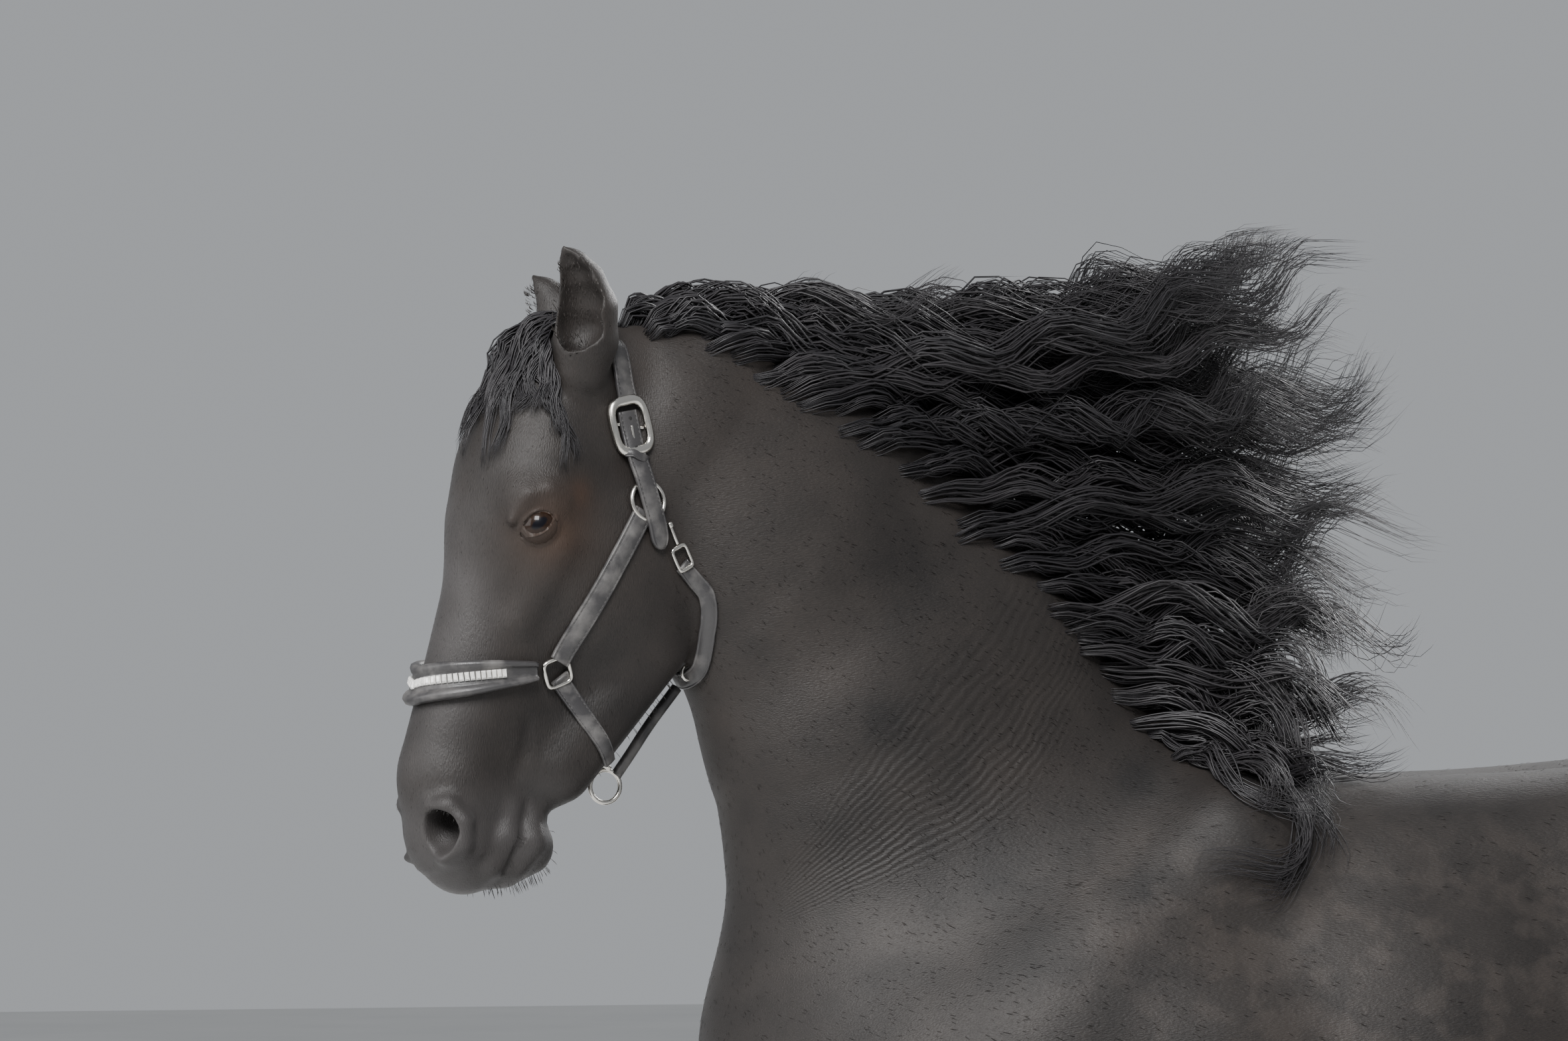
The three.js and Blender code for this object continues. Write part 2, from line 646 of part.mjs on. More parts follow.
function dockSolid() {
  const rings = 9;
  const sides = 10;
  const positions = [];
  for (let i = 0; i <= rings; i += 1) {
    const t = i / rings;
    const centre = DOCK.getPoint(t);
    const along = DOCK.getTangent(t);
    const up = V(-along.z, 0, along.x);
    const radius = lerp(56, 15, Math.min(1, t * 1.05));
    for (let j = 0; j < sides; j += 1) {
      const angle = 2 * Math.PI * j / sides;
      const point = centre.clone().addScaledVector(up, Math.cos(angle) * radius);
      positions.push(...point.add(V(0, Math.sin(angle) * radius * 1.05, 0)).toArray());
    }
  }
  return solidOf(prism(positions, sides));
}

function tailLocks(count) {
  const draw = seededRandom(41);
  return Array.from({ length: count }, (_, i) => {
    const s = lerp(0.3, 0.97, (i + draw(0, 1)) / count);
    const turn = lerp(-2.2, 2.2, (i * 5 % count + 0.5) / count);
    const centre = DOCK.getPoint(s);
    const ahead = DOCK.getTangent(s);
    const out = V(-ahead.z, 0, ahead.x).multiplyScalar(Math.cos(turn)).add(V(0, Math.sin(turn), 0));
    const radius = lerp(56, 15, s);
    const start = centre.clone().addScaledVector(out, 2);
    const skin = centre.clone().addScaledVector(out, radius + 6).addScaledVector(ahead, 14);
    const tip = V(1840 + out.x * 90 + draw(-26, 26), out.y * 96, lerp(centre.z, 170, draw(0.74, 1)));
    const mid = skin.clone().addScaledVector(ahead, 90).addScaledVector(out, 30);
    const late = tip.clone().add(V(out.x * 40 - 6, out.y * 30, 480));
    const phase = draw(0, 2 * Math.PI);
    const sway = (t) => V(Math.sin(9 * t + phase) * 13 * t, Math.cos(8 * t + phase) * 13 * t, 0);
    const route = [start, ...bezier(skin, mid, late, tip, 6, sway)];
    return lock(route, V(-out.y, out.x + 0.2, 0), draw(50, 62), draw(13, 17));
  });
}

// Feather: locks from the back of the cannon and round the pastern, spread over the hoof

function featherLocks(line, side, y, count, seed) {
  const draw = seededRandom(seed);
  const backX = line === FORE_LINE ? 286 : 1538;
  const hoofX = line === FORE_LINE ? 243 : 1488;
  return Array.from({ length: count }, (_, i) => {
    const s = (i + 0.5) / count * 2 - 1;
    const turn = s * 2.75;
    const out = V(Math.cos(turn), Math.sin(turn), 0);
    const behind = Math.max(0, Math.cos(turn));
    const rootZ = lerp(178, lerp(225, 330, draw()), behind);
    const rootX = rootZ > 200 ? backX : lerp(hoofX + 16, backX - 8, (rootZ - 130) / 80);
    const root = V(rootX, side * y, rootZ);
    const start = root.clone().addScaledVector(out, 6);
    const skin = root.clone().addScaledVector(out, 38).add(V(0, 0, -14));
    const reachOut = lerp(88, 128, behind) + draw(-4, 8);
    const tip = V(hoofX, side * y, 16 + draw(0, 22) + 26 * (1 - behind)).addScaledVector(out, reachOut);
    const mid = skin.clone().addScaledVector(out, 24).add(V(0, 0, -36));
    const late = V(tip.x, tip.y, 82).addScaledVector(out, -3);
    const route = [start, ...bezier(skin, mid, late, tip, 4)];
    return lock(route, V(-out.y, out.x, 0), draw(54, 70), draw(9, 12));
  });
}

// An ear: a closed shell along its line, with its cup taken out to the front

function tubeSolid(line, side, segments, by = 0) {
  const centres = line.map(([x, y, z]) => V(x + POLL_X, side * y, z));
  return solidOf(ringLoft(centres, X_AXIS, Y_AXIS, segments, proud(fieldOf(chain(line, 1, 14)), by), 70, 1.5));
}

const earSolid = (side) => tubeSolid(EAR_LINE, side, 12).subtract(tubeSolid(EAR_CUP_LINE, side, 10));

function ball(x, y, z, radius, across = 12, up = 8) {
  return solidOf(new THREE.SphereGeometry(radius, across, up).rotateX(Math.PI / 2).translate(x, y, z));
}

// A nostril's hollow: an egg leaning back and up from the muzzle's front

function nostrilHollow(side) {
  const lean = new THREE.Quaternion().setFromUnitVectors(Y_AXIS, V(34, side * -18, 31).normalize());
  const egg = new THREE.SphereGeometry(1, 12, 8).scale(19, 36, 19).applyQuaternion(lean);
  return solidOf(egg.translate(POLL_X - 203, side * 48, 1577));
}

// The eye's own directions: out of the head, along its corners, and up across them

function eyeAxes(side) {
  const out = V(-0.33, side * 0.94, 0.06).normalize();
  const corner = V(0.84, 0, 0.54);
  const along = corner.clone().addScaledVector(out, -corner.dot(out)).normalize();
  const up = along.clone().cross(out);
  return { out, along, up: up.multiplyScalar(Math.sign(up.z)) };
}

// The opening between the lids: an almond, pulled straight out from the eyeball's middle

function lidOpening(side) {
  const { out, along, up } = eyeAxes(side);
  const corners = 12;
  const positions = [];
  for (const depth of [EYE.radius * 0.3, EYE.radius * 2.6]) {
    for (let i = 0; i < corners; i += 1) {
      const angle = 2 * Math.PI * (i + 0.5) / corners;
      const height = Math.sin(angle) > 0 ? LIDS.upper : LIDS.lower;
      const point = V(EYE.x, side * EYE.y, EYE.z).addScaledVector(out, depth);
      point.addScaledVector(along, Math.cos(angle) * LIDS.reach).addScaledVector(up, Math.sin(angle) * height);
      positions.push(...point.toArray());
    }
  }
  return solidOf(prism(positions, corners));
}

// The halter: straps laid on the head's surface, sunk a little and then cut clear of it

function onHead(x, z, side, lift = 0) {
  const point = V(POLL_X + x, side * sideReach(headField, POLL_X + x, z), z);
  return point.addScaledVector(slopeOf(headField, point).normalize(), lift);
}

const headNormal = (point) => slopeOf(headField, point).normalize();

// A flat strip along points, each with its own outward direction

function ribbon(points, normals, widths, thickness, sunk) {
  const positions = [];
  const last = points.length - 1;
  points.forEach((point, i) => {
    const along = points[Math.min(i + 1, last)].clone().sub(points[Math.max(i - 1, 0)]).normalize();
    const across = along.clone().cross(normals[i]).normalize();
    const out = across.clone().cross(along).normalize();
    const w = Array.isArray(widths) ? widths[i] : widths;
    for (const [a, b] of [[-1, 0], [1, 0], [1, 1], [-1, 1]]) {
      const corner = point.clone().addScaledVector(across, a * w / 2);
      positions.push(...corner.addScaledVector(out, b ? thickness - sunk : -sunk).toArray());
    }
  });
  return solidOf(prism(positions, 4));
}

function strapOnHead(places, side, widths = STRAP.width, thickness = STRAP.thickness, sunk = STRAP.sunk) {
  const points = places.map(([x, z, lift]) => onHead(x, z, side, lift));
  return ribbon(points, points.map(headNormal), widths, thickness, sunk);
}

// A wire ring lying on the head; a higher power squares its corners

function wireRing(x, z, side, radius, wire, lift, { corners = 14, stretch = 1, power = 2, tilt = 0 } = {}) {
  const centre = onHead(x, z, side);
  const normal = headNormal(centre);
  centre.addScaledVector(normal, lift);
  const down = V(-Math.sin(tilt), 0, -Math.cos(tilt));
  down.addScaledVector(normal, -down.dot(normal)).normalize();
  const across = normal.clone().cross(down).multiplyScalar(side);
  const rays = Array.from({ length: corners }, (_, i) => {
    const angle = 2 * Math.PI * (i + 0.5) / corners;
    const [c, s] = [Math.cos(angle), Math.sin(angle)];
    const rim = (Math.abs(c) ** power + Math.abs(s) ** power) ** (-1 / power);
    return down.clone().multiplyScalar(c * stretch * rim).addScaledVector(across, s * rim);
  });
  const positions = [];
  for (const ray of rays) {
    for (let j = 0; j < 6; j += 1) {
      const b = 2 * Math.PI * j / 6;
      const middle = centre.clone().addScaledVector(ray, radius);
      const point = middle.addScaledVector(ray.clone().normalize(), Math.cos(b) * wire);
      positions.push(...point.addScaledVector(normal, Math.sin(b) * wire).toArray());
    }
  }
  return solidOf(hoop(positions, 6));
}

// A round cord through points

function cord(points, radius, sides = 8) {
  const positions = [];
  const last = points.length - 1;
  points.forEach((point, i) => {
    const along = points[Math.min(i + 1, last)].clone().sub(points[Math.max(i - 1, 0)]).normalize();
    const across = Math.abs(along.y) < 0.9 ? along.clone().cross(Y_AXIS).normalize() : X_AXIS.clone();
    const over = along.clone().cross(across);
    for (let j = 0; j < sides; j += 1) {
      const angle = 2 * Math.PI * j / sides;
      const rim = point.clone().addScaledVector(across, Math.cos(angle) * radius);
      positions.push(...rim.addScaledVector(over, Math.sin(angle) * radius).toArray());
    }
  });
  return solidOf(prism(positions, sides));
}

// Closes a stack of rings on itself

function hoop(positions, sides) {
  const rings = positions.length / 3 / sides;
  const indices = [];
  for (let i = 0; i < rings; i += 1) {
    for (let j = 0; j < sides; j += 1) {
      const a = i * sides + j;
      const b = i * sides + (j + 1) % sides;
      const c = (i + 1) % rings * sides + j;
      const d = (i + 1) % rings * sides + (j + 1) % sides;
      indices.push(a, b, d, a, d, c);
    }
  }
  return outward(geometryOf(positions, indices));
}

// The noseband: a padded band round the nose bridge from one square ring to the other

function aroundNose(span, level, steps) {
  const points = [];
  for (let i = 0; i <= steps; i += 1) {
    const turn = Math.PI + lerp(-span, span, i / steps);
    const z = level(Math.abs(i / steps * 2 - 1));
    const origin = V(POLL_X - 135, 0, z);
    const ray = V(Math.cos(turn), Math.sin(turn), 0);
    points.push(origin.clone().addScaledVector(ray, reach(headField, origin, ray, 200, 3)));
  }
  return points;
}

const group = new THREE.Group();

const SKIN = { colour: 0x2a2725, roughness: 0.55, metalness: 0 };
const HAIR = { colour: 0x151517, roughness: 0.6, metalness: 0 };
const HORN = { colour: 0x1d1b1a, roughness: 0.45, metalness: 0 };
const GLOSS = { colour: 0x120d0a, roughness: 0.08, metalness: 0 };
const LEATHER = { colour: 0x17181b, roughness: 0.5, metalness: 0 };
const NICKEL = { colour: 0xc9cbcc, roughness: 0.2, metalness: 1 };

function add(name, solid, finish, bend = true) {
  const { colour, roughness, metalness } = finish;
  const material = new THREE.MeshStandardMaterial({ color: colour, roughness, metalness });
  const geometry = geometryFrom(solid);
  const mesh = new THREE.Mesh(bend ? mapped(geometry, yawed) : geometry, material);
  mesh.name = name;
  group.add(mesh);
  return mesh;
}

const LIMBS = [
  {
    name: 'foreleg', line: FORE_LINE, levels: FORE_LEVELS, field: forelegField, y: FORE_Y, middle: KNEE_SEAM_Z,
    toe: 168, steps: { left: 14, right: -26 },
  },
  {
    name: 'hindleg', line: HIND_LINE, levels: HIND_LEVELS, field: hindlegField, y: HIND_Y, middle: HOCK_SEAM_Z,
    toe: 1416, steps: { left: 34, right: -40 },
  },
];

const earTurned = (solid) => solidOf(mapped(geometryFrom(solid), rightEarTurned));
const headGuard = earTurned(headSolid(proud(headField, JOINT_GAP)));
const trunkGuard = besideSeam(trunkSolid(proud(bodyField, 2)), NECK_SEAM, -1);

let trunk = besideSeam(trunkSolid(bodyField), NECK_SEAM, -1);
const stumps = [];
for (const limb of LIMBS) {
  for (const [name, side] of [['left', -1], ['right', 1]]) {
    const leg = legSolid(limb.line, limb.levels, limb.field, side);
    stumps.push(aboveLevel(leg, LEG_SEAM_Z + JOINT_GAP / 2));
    const stride = strideOf(limb.steps[name]);
    const lowered = (solid) => solidOf(mapped(geometryFrom(solid), stride));
    const upper = belowLevel(aboveLevel(leg, limb.middle + JOINT_GAP / 2), LEG_SEAM_Z - JOINT_GAP / 2);
    const lower = belowLevel(aboveLevel(leg, CORONET_Z), limb.middle - JOINT_GAP / 2);
    const feather = featherLocks(limb.line, side, limb.y, 7, 60 + side + limb.toe);
    const hoof = hoofSolid(limb.toe, side * limb.y, 146, 132);
    add(`${limb.name}_upper_${name}`, lowered(largestOf(upper)), SKIN, false);
    add(`${limb.name}_lower_${name}`, lowered(joined(lower, feather)), SKIN, false);
    add(`hoof_${limb.name}_${name}`, lowered(hoof), HORN, false);
  }
}
const dock = dockSolid();
trunk = wasm.Manifold.union([trunk, ...stumps, besideSeam(dock, DOCK_SEAM, 1)]);
add('torso', largestOf(trunk), SKIN);
const tailHair = tailLocks(12).map((hair) => besideSeam(hair.subtract(trunkGuard), DOCK_SEAM, -1));
const tailDock = besideSeam(dock, DOCK_SEAM, -1).subtract(trunkGuard);
add('tail', joined(tailDock, tailHair), HAIR, false);

const neck = behindHead(besideSeam(earTurned(neckSolid(bodyField)), NECK_SEAM, 1));
const mane = maneLocks(33, 3).map((hair) => besideSeam(earTurned(hair).subtract(trunkGuard), HEAD_SEAM, -1));
add('neck', joined(neck, mane), SKIN);

let head = besideSeam(earTurned(headSolid(headField)), HEAD_SEAM, 1);
const bothEars = [-1, 1].map((side) => tubeSolid(EAR_LINE, side, 12, JOINT_GAP));
const earGuards = earTurned(wasm.Manifold.union(bothEars));
head = joined(head, foreLocks(6).map((hair) => earTurned(hair).subtract(earGuards)));
const mouthLine = [[-94, 1606], [-104, 1580], [-114, 1552], [-124, 1528]];
for (const [name, side] of [['left', -1], ['right', 1]]) {
  const room = (radius) => ball(EYE.x, side * EYE.y, EYE.z, radius);
  head = head.add(room(EYE.radius + LIDS.thickness)).subtract(room(EYE.radius + JOINT_GAP));
  head = head.subtract(lidOpening(side)).subtract(nostrilHollow(side));
  head = head.subtract(strapOnHead(mouthLine, side, MOUTH_LINE.width, MOUTH_LINE.depth * 2, MOUTH_LINE.depth));
  add(`eye_${name}`, room(EYE.radius), GLOSS);
  add(`ear_${name}`, largestOf(earTurned(earSolid(side)).subtract(headGuard)), SKIN);
}
add('head', largestOf(head), SKIN);

// The halter's straps and fittings, with x counted from the poll

const neckGuard = earTurned(neckSolid(proud(bodyField, JOINT_GAP * 2)));
const onSkin = (solid) => largestOf(earTurned(solid).subtract(headGuard).subtract(neckGuard));
const CHIN_RING = { x: 12, z: 1620, radius: 18 };
const chinHoop = (wire) => {
  const torus = new THREE.TorusGeometry(CHIN_RING.radius, wire, 6, 14).rotateX(Math.PI / 2);
  return solidOf(torus.translate(POLL_X + CHIN_RING.x, 0, CHIN_RING.z));
};
const chinGuard = chinHoop(WIRE + JOINT_GAP);
for (const [name, side] of [['left', -1], ['right', 1]]) {
  const cheekLine = [[15, 1910], [-10, 1868], [-36, 1822], [-60, 1774]];
  add(`halter_cheek_${name}`, onSkin(strapOnHead(cheekLine, side)), LEATHER);
  const chinEnd = V(POLL_X - 2, side * 8, 1646);
  const chinPlaces = [onHead(-60, 1732, side), onHead(-38, 1700, side), onHead(-16, 1668, side), chinEnd];
  const chinNormals = chinPlaces.map((place, i) => (i < 3 ? headNormal(place) : V(0, side, -0.2).normalize()));
  const chinStrap = ribbon(chinPlaces, chinNormals, [22, 22, 18, 12], STRAP.thickness, STRAP.sunk);
  add(`halter_chin_${name}`, onSkin(chinStrap.subtract(chinGuard)), LEATHER);
  add(`halter_ring_${name}`, wireRing(28, 1932, side, 21, WIRE, 8), NICKEL);
  add(`halter_square_${name}`, wireRing(-71, 1747, side, 17, WIRE, 8, { corners: 4 }), NICKEL);
}
const billetLine = [[16, 1982, 8], [22, 1958, 12.5], [29, 1930, 13], [36, 1906, 12], [43, 1881, 4]];
add('halter_billet_left', onSkin(strapOnHead(billetLine, -1)), LEATHER);
add('halter_billet_right', onSkin(strapOnHead([[10, 1998, 1], [18, 1958, 1]], 1)), LEATHER);
const overPoll = (side) => [[8, 2045], [7, 2068], [5, 2092]].map(([x, z]) => onHead(x, z, side));
const pollTop = (y) => {
  const low = V(POLL_X + 4, y, 2050);
  return low.clone().add(V(0, 0, 2 + reach(headField, low, Z_AXIS, 200, 3)));
};
const crown = [...overPoll(-1), ...[-42, -21, 0, 21, 42].map(pollTop), ...overPoll(1).reverse()];
const crownStrap = onSkin(ribbon(crown, crown.map(headNormal), STRAP.width, STRAP.thickness, STRAP.sunk));
add('halter_crown', largestOf(crownStrap.subtract(earGuards)), LEATHER);
const buckleShape = { corners: 16, stretch: 1.25, power: 3.5, tilt: -0.2 };
add('halter_buckle', wireRing(12, 2014, -1, 20, 3.6, 8, buckleShape), NICKEL);

const snapEye = onHead(58, 1901, -1, 7);
const snapLoop = onHead(65, 1884, -1, 7);
const snapRing = wireRing(71, 1871, -1, 10, 2, 7, { corners: 6, stretch: 1.3 });
const snap = cord([snapEye, snapLoop], WIRE, 6).add(snapRing);
add('halter_snap', onSkin(snap), NICKEL);

const throatSide = (side) => [[68, 95, 1850], [98, 92, 1822], [106, 76, 1788], [108, 50, 1752]]
  .map(([x, y, z]) => settledOn(coatField, V(POLL_X + x, side * y, z)));
const underThroat = settledOn(coatField, V(POLL_X + 108, 0, 1738));
const throat = [...throatSide(-1), underThroat, ...throatSide(1).reverse()];
const throatNormals = throat.map((point) => slopeOf(coatField, point).normalize());
const throatStrap = ribbon(throat, throatNormals, STRAP.width - 6, STRAP.thickness, STRAP.sunk);
add('halter_throat', onSkin(throatStrap), LEATHER);
const jawLine = [[25, 1633], [42, 1655], [66, 1688], [98, 1727]].map(([x, z]) => V(POLL_X + x, 0, z));
add('halter_jaw', onSkin(cord(jawLine, 6.5).subtract(chinGuard)), LEATHER);
add('halter_chin_ring', chinHoop(WIRE), NICKEL);
const nose = aroundNose(1.95, (t) => lerp(1727, 1746, Math.sqrt(t)), 14);
const noseWidths = nose.map((_, i) => lerp(44, 20, Math.abs(i / 7 - 1) ** 1.5));
add('halter_nose', onSkin(ribbon(nose, nose.map(headNormal), noseWidths, 11, 1.5)), LEATHER);

const beads = aroundNose(1.35, (t) => lerp(1729, 1745, Math.sqrt(t)), 12);
const beadPlaces = beads.map((point) => point.addScaledVector(headNormal(point), 12.5));
add('halter_beads', ribbon(beadPlaces, beads.map(headNormal), 9, 5, 0), NICKEL);

group.position.x = -ORIGIN_X;

export default group;
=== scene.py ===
"""Looks of a life-size Friesian horse in a halter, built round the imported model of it."""

import math
from typing import NamedTuple

import bmesh
import bpy
import numpy as np
from bpy.props import FloatProperty, FloatVectorProperty, IntProperty, PointerProperty
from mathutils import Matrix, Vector


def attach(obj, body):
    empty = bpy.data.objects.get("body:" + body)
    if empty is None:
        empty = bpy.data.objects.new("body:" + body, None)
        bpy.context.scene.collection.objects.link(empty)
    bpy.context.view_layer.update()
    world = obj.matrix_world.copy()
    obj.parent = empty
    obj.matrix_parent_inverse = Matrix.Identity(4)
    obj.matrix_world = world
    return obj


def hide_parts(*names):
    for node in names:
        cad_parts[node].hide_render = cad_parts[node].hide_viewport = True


bl_info = {
    "name": "Friesian horse",
    "version": (1, 0, 0),
    "blender": (4, 5, 0),
    "location": "View3D > Sidebar > Horse",
    "description": "Skin, hair, eyes, hooves and halter of a Friesian horse",
    "category": "Object",
}

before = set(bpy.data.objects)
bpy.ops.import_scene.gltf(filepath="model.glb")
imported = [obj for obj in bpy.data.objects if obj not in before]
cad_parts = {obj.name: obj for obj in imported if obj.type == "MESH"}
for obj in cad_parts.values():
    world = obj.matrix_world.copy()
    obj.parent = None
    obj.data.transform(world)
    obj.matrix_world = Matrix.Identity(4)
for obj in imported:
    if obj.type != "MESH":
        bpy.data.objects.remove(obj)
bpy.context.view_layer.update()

# Body sizes in millimetres, in the straight body: it faces -x, its left is -y, and the floor is z = 0
MM = 0.001
ORIGIN_X = 742.4
POLL_X = -242.0
HEAD_YAW = math.radians(12.0)
YAW_PIVOT_X = 150.0
YAW_RUN = 265.0
NECK_SEAM = ((575.0, 1652.0), (-105.0, 1285.0))
LEG_SEAM_Z = 870.0
FORE_Y = 165.0
HIND_Y = 168.0
SIDES = (("left", -1), ("right", 1))
EAR_LOWERS_FROM = 2092.0
EAR_LOWERS = np.array((0.08, -0.04, -0.24))
EAR_TURNS_BACK = 26.0
EAR_TURNS_FROM = (2030, 2110)
RIGHT_EAR_Y = (20, 46)
RIGHT_EAR_X = (POLL_X - 4, POLL_X + 60)
# How far the left and right legs of a pair step back at the floor, and where the hind pair and the tail start
STRIDES = {"fore": (14.0, -26.0), "hind": (34.0, -40.0)}
BELLY_X = 800.0
TAIL_X = 1700.0
EYE = np.array((POLL_X - 105.0, 78.0, 1907.0))
EYE_RADIUS = 21.0
EYE_AXIS = np.array((-0.33, 0.94, 0.06))
EYE_CORNERS = np.array((0.84, 0.0, 0.54))
COAT_DEPTH = 1.5
TINY = 1e-9

# Photograph: its width, the size of a pixel on the horse, its middle, its top edge's height and its camera
PHOTO_WIDTH = 2362.0
PIXEL_MM = 0.735
FRAME_MIDDLE = (1181.0, 784.0)
FRAME_TOP_Z = 2487.3
CAMERA_AZIMUTH = math.radians(-14.0)
CAMERA_DISTANCE = 12.0


# Field of the body: tapered capsules, flattened sideways, that melt together

FAR = 400.0


def unit(vectors):
    """Vectors made one long."""
    return vectors / np.maximum(np.linalg.norm(vectors, axis=-1, keepdims=True), TINY)


def mirrored(points):
    """Points moved to the side on which the masses are given."""
    return np.stack((points[:, 0], np.abs(points[:, 1]), points[:, 2]), 1)


def mass(start, end, start_radius, end_radius, flat=1.0, blend=60.0):
    """A tapered capsule, how much wider than high it is, and the reach over which it melts into others."""
    return np.array(start, float), np.array(end, float), start_radius, end_radius, flat, blend


def distance_to(m, x, y, z):
    """Distance of places from a mass, negative inside."""
    start, end, start_radius, end_radius, flat, _ = m
    along = end - start
    dx, dy, dz = x - start[0], y - start[1], z - start[2]
    span = float(along @ along) or 1.0
    t = np.clip((dx * along[0] + dy * along[1] + dz * along[2]) / span, 0.0, 1.0)
    dx = dx - t * along[0]
    dy = (dy - t * along[1]) / flat
    dz = dz - t * along[2]
    return np.sqrt(dx * dx + dy * dy + dz * dz) - (start_radius + (end_radius - start_radius) * t)


def melt(a, b, k):
    """The lesser of two distances, rounded over a reach where they meet."""
    h = np.maximum(k - np.abs(a - b), 0.0) / k
    return np.minimum(a, b) - h * h * k / 4


TRUNK = [
    mass((330, 0, 1238), (700, 0, 1240), 348, 347, 0.84),
    mass((700, 0, 1240), (1040, 0, 1298), 347, 315, 0.9, 90),
    mass((1040, 0, 1298), (1290, 0, 1345), 315, 285, 0.92, 90),
    mass((400, 0, 1490), (590, 0, 1500), 150, 122, 0.55, 80),
    mass((620, 92, 1530), (1180, 104, 1556), 84, 92, 1, 70),
    mass((1180, 116, 1455), (1450, 88, 1405), 192, 150, 1, 80),
    mass((1185, 196, 1505), (1225, 200, 1480), 62, 58, 1, 80),
    mass((1430, 128, 1390), (1490, 128, 1230), 160, 122, 0.9, 80),
    mass((1370, 158, 1290), (1330, 166, 1060), 196, 140, 0.75, 80),
    mass((1490, 70, 1420), (1590, 62, 1390), 90, 50, 0.9, 80),
    mass((1560, 104, 1320), (1510, 150, 1040), 84, 76, 0.9, 70),
    mass((1215, 175, 1080), (1225, 178, 1020), 100, 92, 0.9, 60),
    mass((1440, 0, 1474), (1560, 0, 1518), 100, 66, 1, 60),
    mass((1470, 0, 1380), (1490, 0, 1240), 105, 88, 1, 60),
    mass((76, 0, 1315), (135, 0, 1110), 162, 140, 1.15, 80),
    mass((42, 92, 1200), (180, 98, 1015), 110, 92, 1, 60),
    mass((470, 110, 1540), (75, 158, 1160), 92, 112, 1, 80),
    mass((430, 160, 1300), (280, 172, 1030), 125, 100, 1, 70),
]

NECK = [
    mass((240, 0, 1455), (145, 0, 1690), 318, 243, 0.52, 90),
    mass((145, 0, 1690), (0, 0, 1880), 243, 180, 0.5, 50),
    mass((0, 0, 1880), (-130, 0, 1985), 180, 137, 0.56, 50),
]
CREST_LINE = [(-205, 2092, 31), (-99, 2091, 31), (14, 2051, 32), (128, 1985, 33), (242, 1897, 34),
              (355, 1785, 36), (460, 1680, 38), (530, 1618, 36)]


def from_poll(start, end, *rest):
    """A mass whose x is counted from the poll."""
    return mass((start[0] + POLL_X, *start[1:]), (end[0] + POLL_X, *end[1:]), *rest)


SKULL = [
    from_poll((-38, 0, 2050), (-50, 0, 1990), 76, 88, 0.86, 40),
    from_poll((-84, 0, 2020), (-114, 0, 1905), 40, 43, 1.5, 40),
    from_poll((-75, 0, 1945), (-70, 0, 1890), 84, 84, 1.02, 40),
    from_poll((-128, 0, 1905), (-188, 0, 1640), 35, 31, 1.05, 40),
    from_poll((-70, 0, 1850), (-165, 0, 1645), 80, 60, 0.76, 40),
    from_poll((-6, 40, 1880), (4, 38, 1843), 94, 98, 0.42, 30),
    from_poll((50, 32, 1768), (-52, 26, 1640), 41, 37, 0.7, 30),
    from_poll((-40, 0, 1790), (-114, 0, 1594), 75, 48, 0.62, 40),
    from_poll((-172, 0, 1604), (-173, 0, 1572), 52, 52, 0.98, 36),
    from_poll((-192, 36, 1578), (-186, 36, 1560), 22, 20, 1, 20),
    from_poll((-163, 0, 1548), (-160, 0, 1540), 42, 37, 1.05, 24),
    from_poll((-88, 0, 1556), (-112, 0, 1538), 36, 29, 0.95, 16),
    from_poll((-118, 0, 1560), (-140, 0, 1548), 34, 34, 1.0, 20),
    from_poll((-114, 70, 1934), (-94, 74, 1932), 24, 23, 1, 26),
    from_poll((-80, 72, 1880), (-112, 52, 1800), 11, 7, 1, 30),
]

FORELEG = [
    mass((310, FORE_Y, 1060), (292, FORE_Y + 3, 900), 106, 92, 0.86, 60),
    mass((292, FORE_Y + 3, 900), (280, FORE_Y, 640), 88, 50, 0.86, 50),
    mass((278, FORE_Y, 590), (276, FORE_Y, 505), 51, 44, 0.95, 40),
    mass((286, FORE_Y, 500), (288, FORE_Y, 270), 37, 34, 0.74, 30),
    mass((286, FORE_Y, 232), (284, FORE_Y, 212), 44, 42, 0.86, 24),
    mass((276, FORE_Y, 200), (248, FORE_Y, 100), 33, 40, 1, 24),
]

HINDLEG = [
    mass((1240, HIND_Y + 8, 1060), (1290, HIND_Y + 8, 930), 128, 108, 0.8, 60),
    mass((1300, HIND_Y + 8, 930), (1482, HIND_Y, 690), 106, 54, 0.78, 50),
    mass((1505, 154, 1040), (1500, HIND_Y, 880), 74, 52, 0.85, 60),
    mass((1470, HIND_Y + 4, 900), (1582, HIND_Y, 705), 48, 21, 0.8, 50),
    mass((1586, HIND_Y, 696), (1540, HIND_Y, 600), 27, 44, 0.9, 30),
    mass((1492, HIND_Y, 660), (1530, HIND_Y, 560), 50, 44, 0.9, 40),
    mass((1540, HIND_Y, 560), (1536, HIND_Y, 280), 42, 37, 0.76, 30),
    mass((1532, HIND_Y, 236), (1530, HIND_Y, 214), 46, 44, 0.86, 24),
    mass((1522, HIND_Y, 200), (1494, HIND_Y, 100), 35, 41, 1, 24),
]


def chain(stations, flat=1.0, blend=10.0, x0=POLL_X):
    """Capsules from station to station, each station an (x, y, z, radius)."""
    return [
        mass((a[0] + x0, a[1], a[2]), (b[0] + x0, b[1], b[2]), a[3], b[3], flat, blend)
        for a, b in zip(stations, stations[1:])
    ]


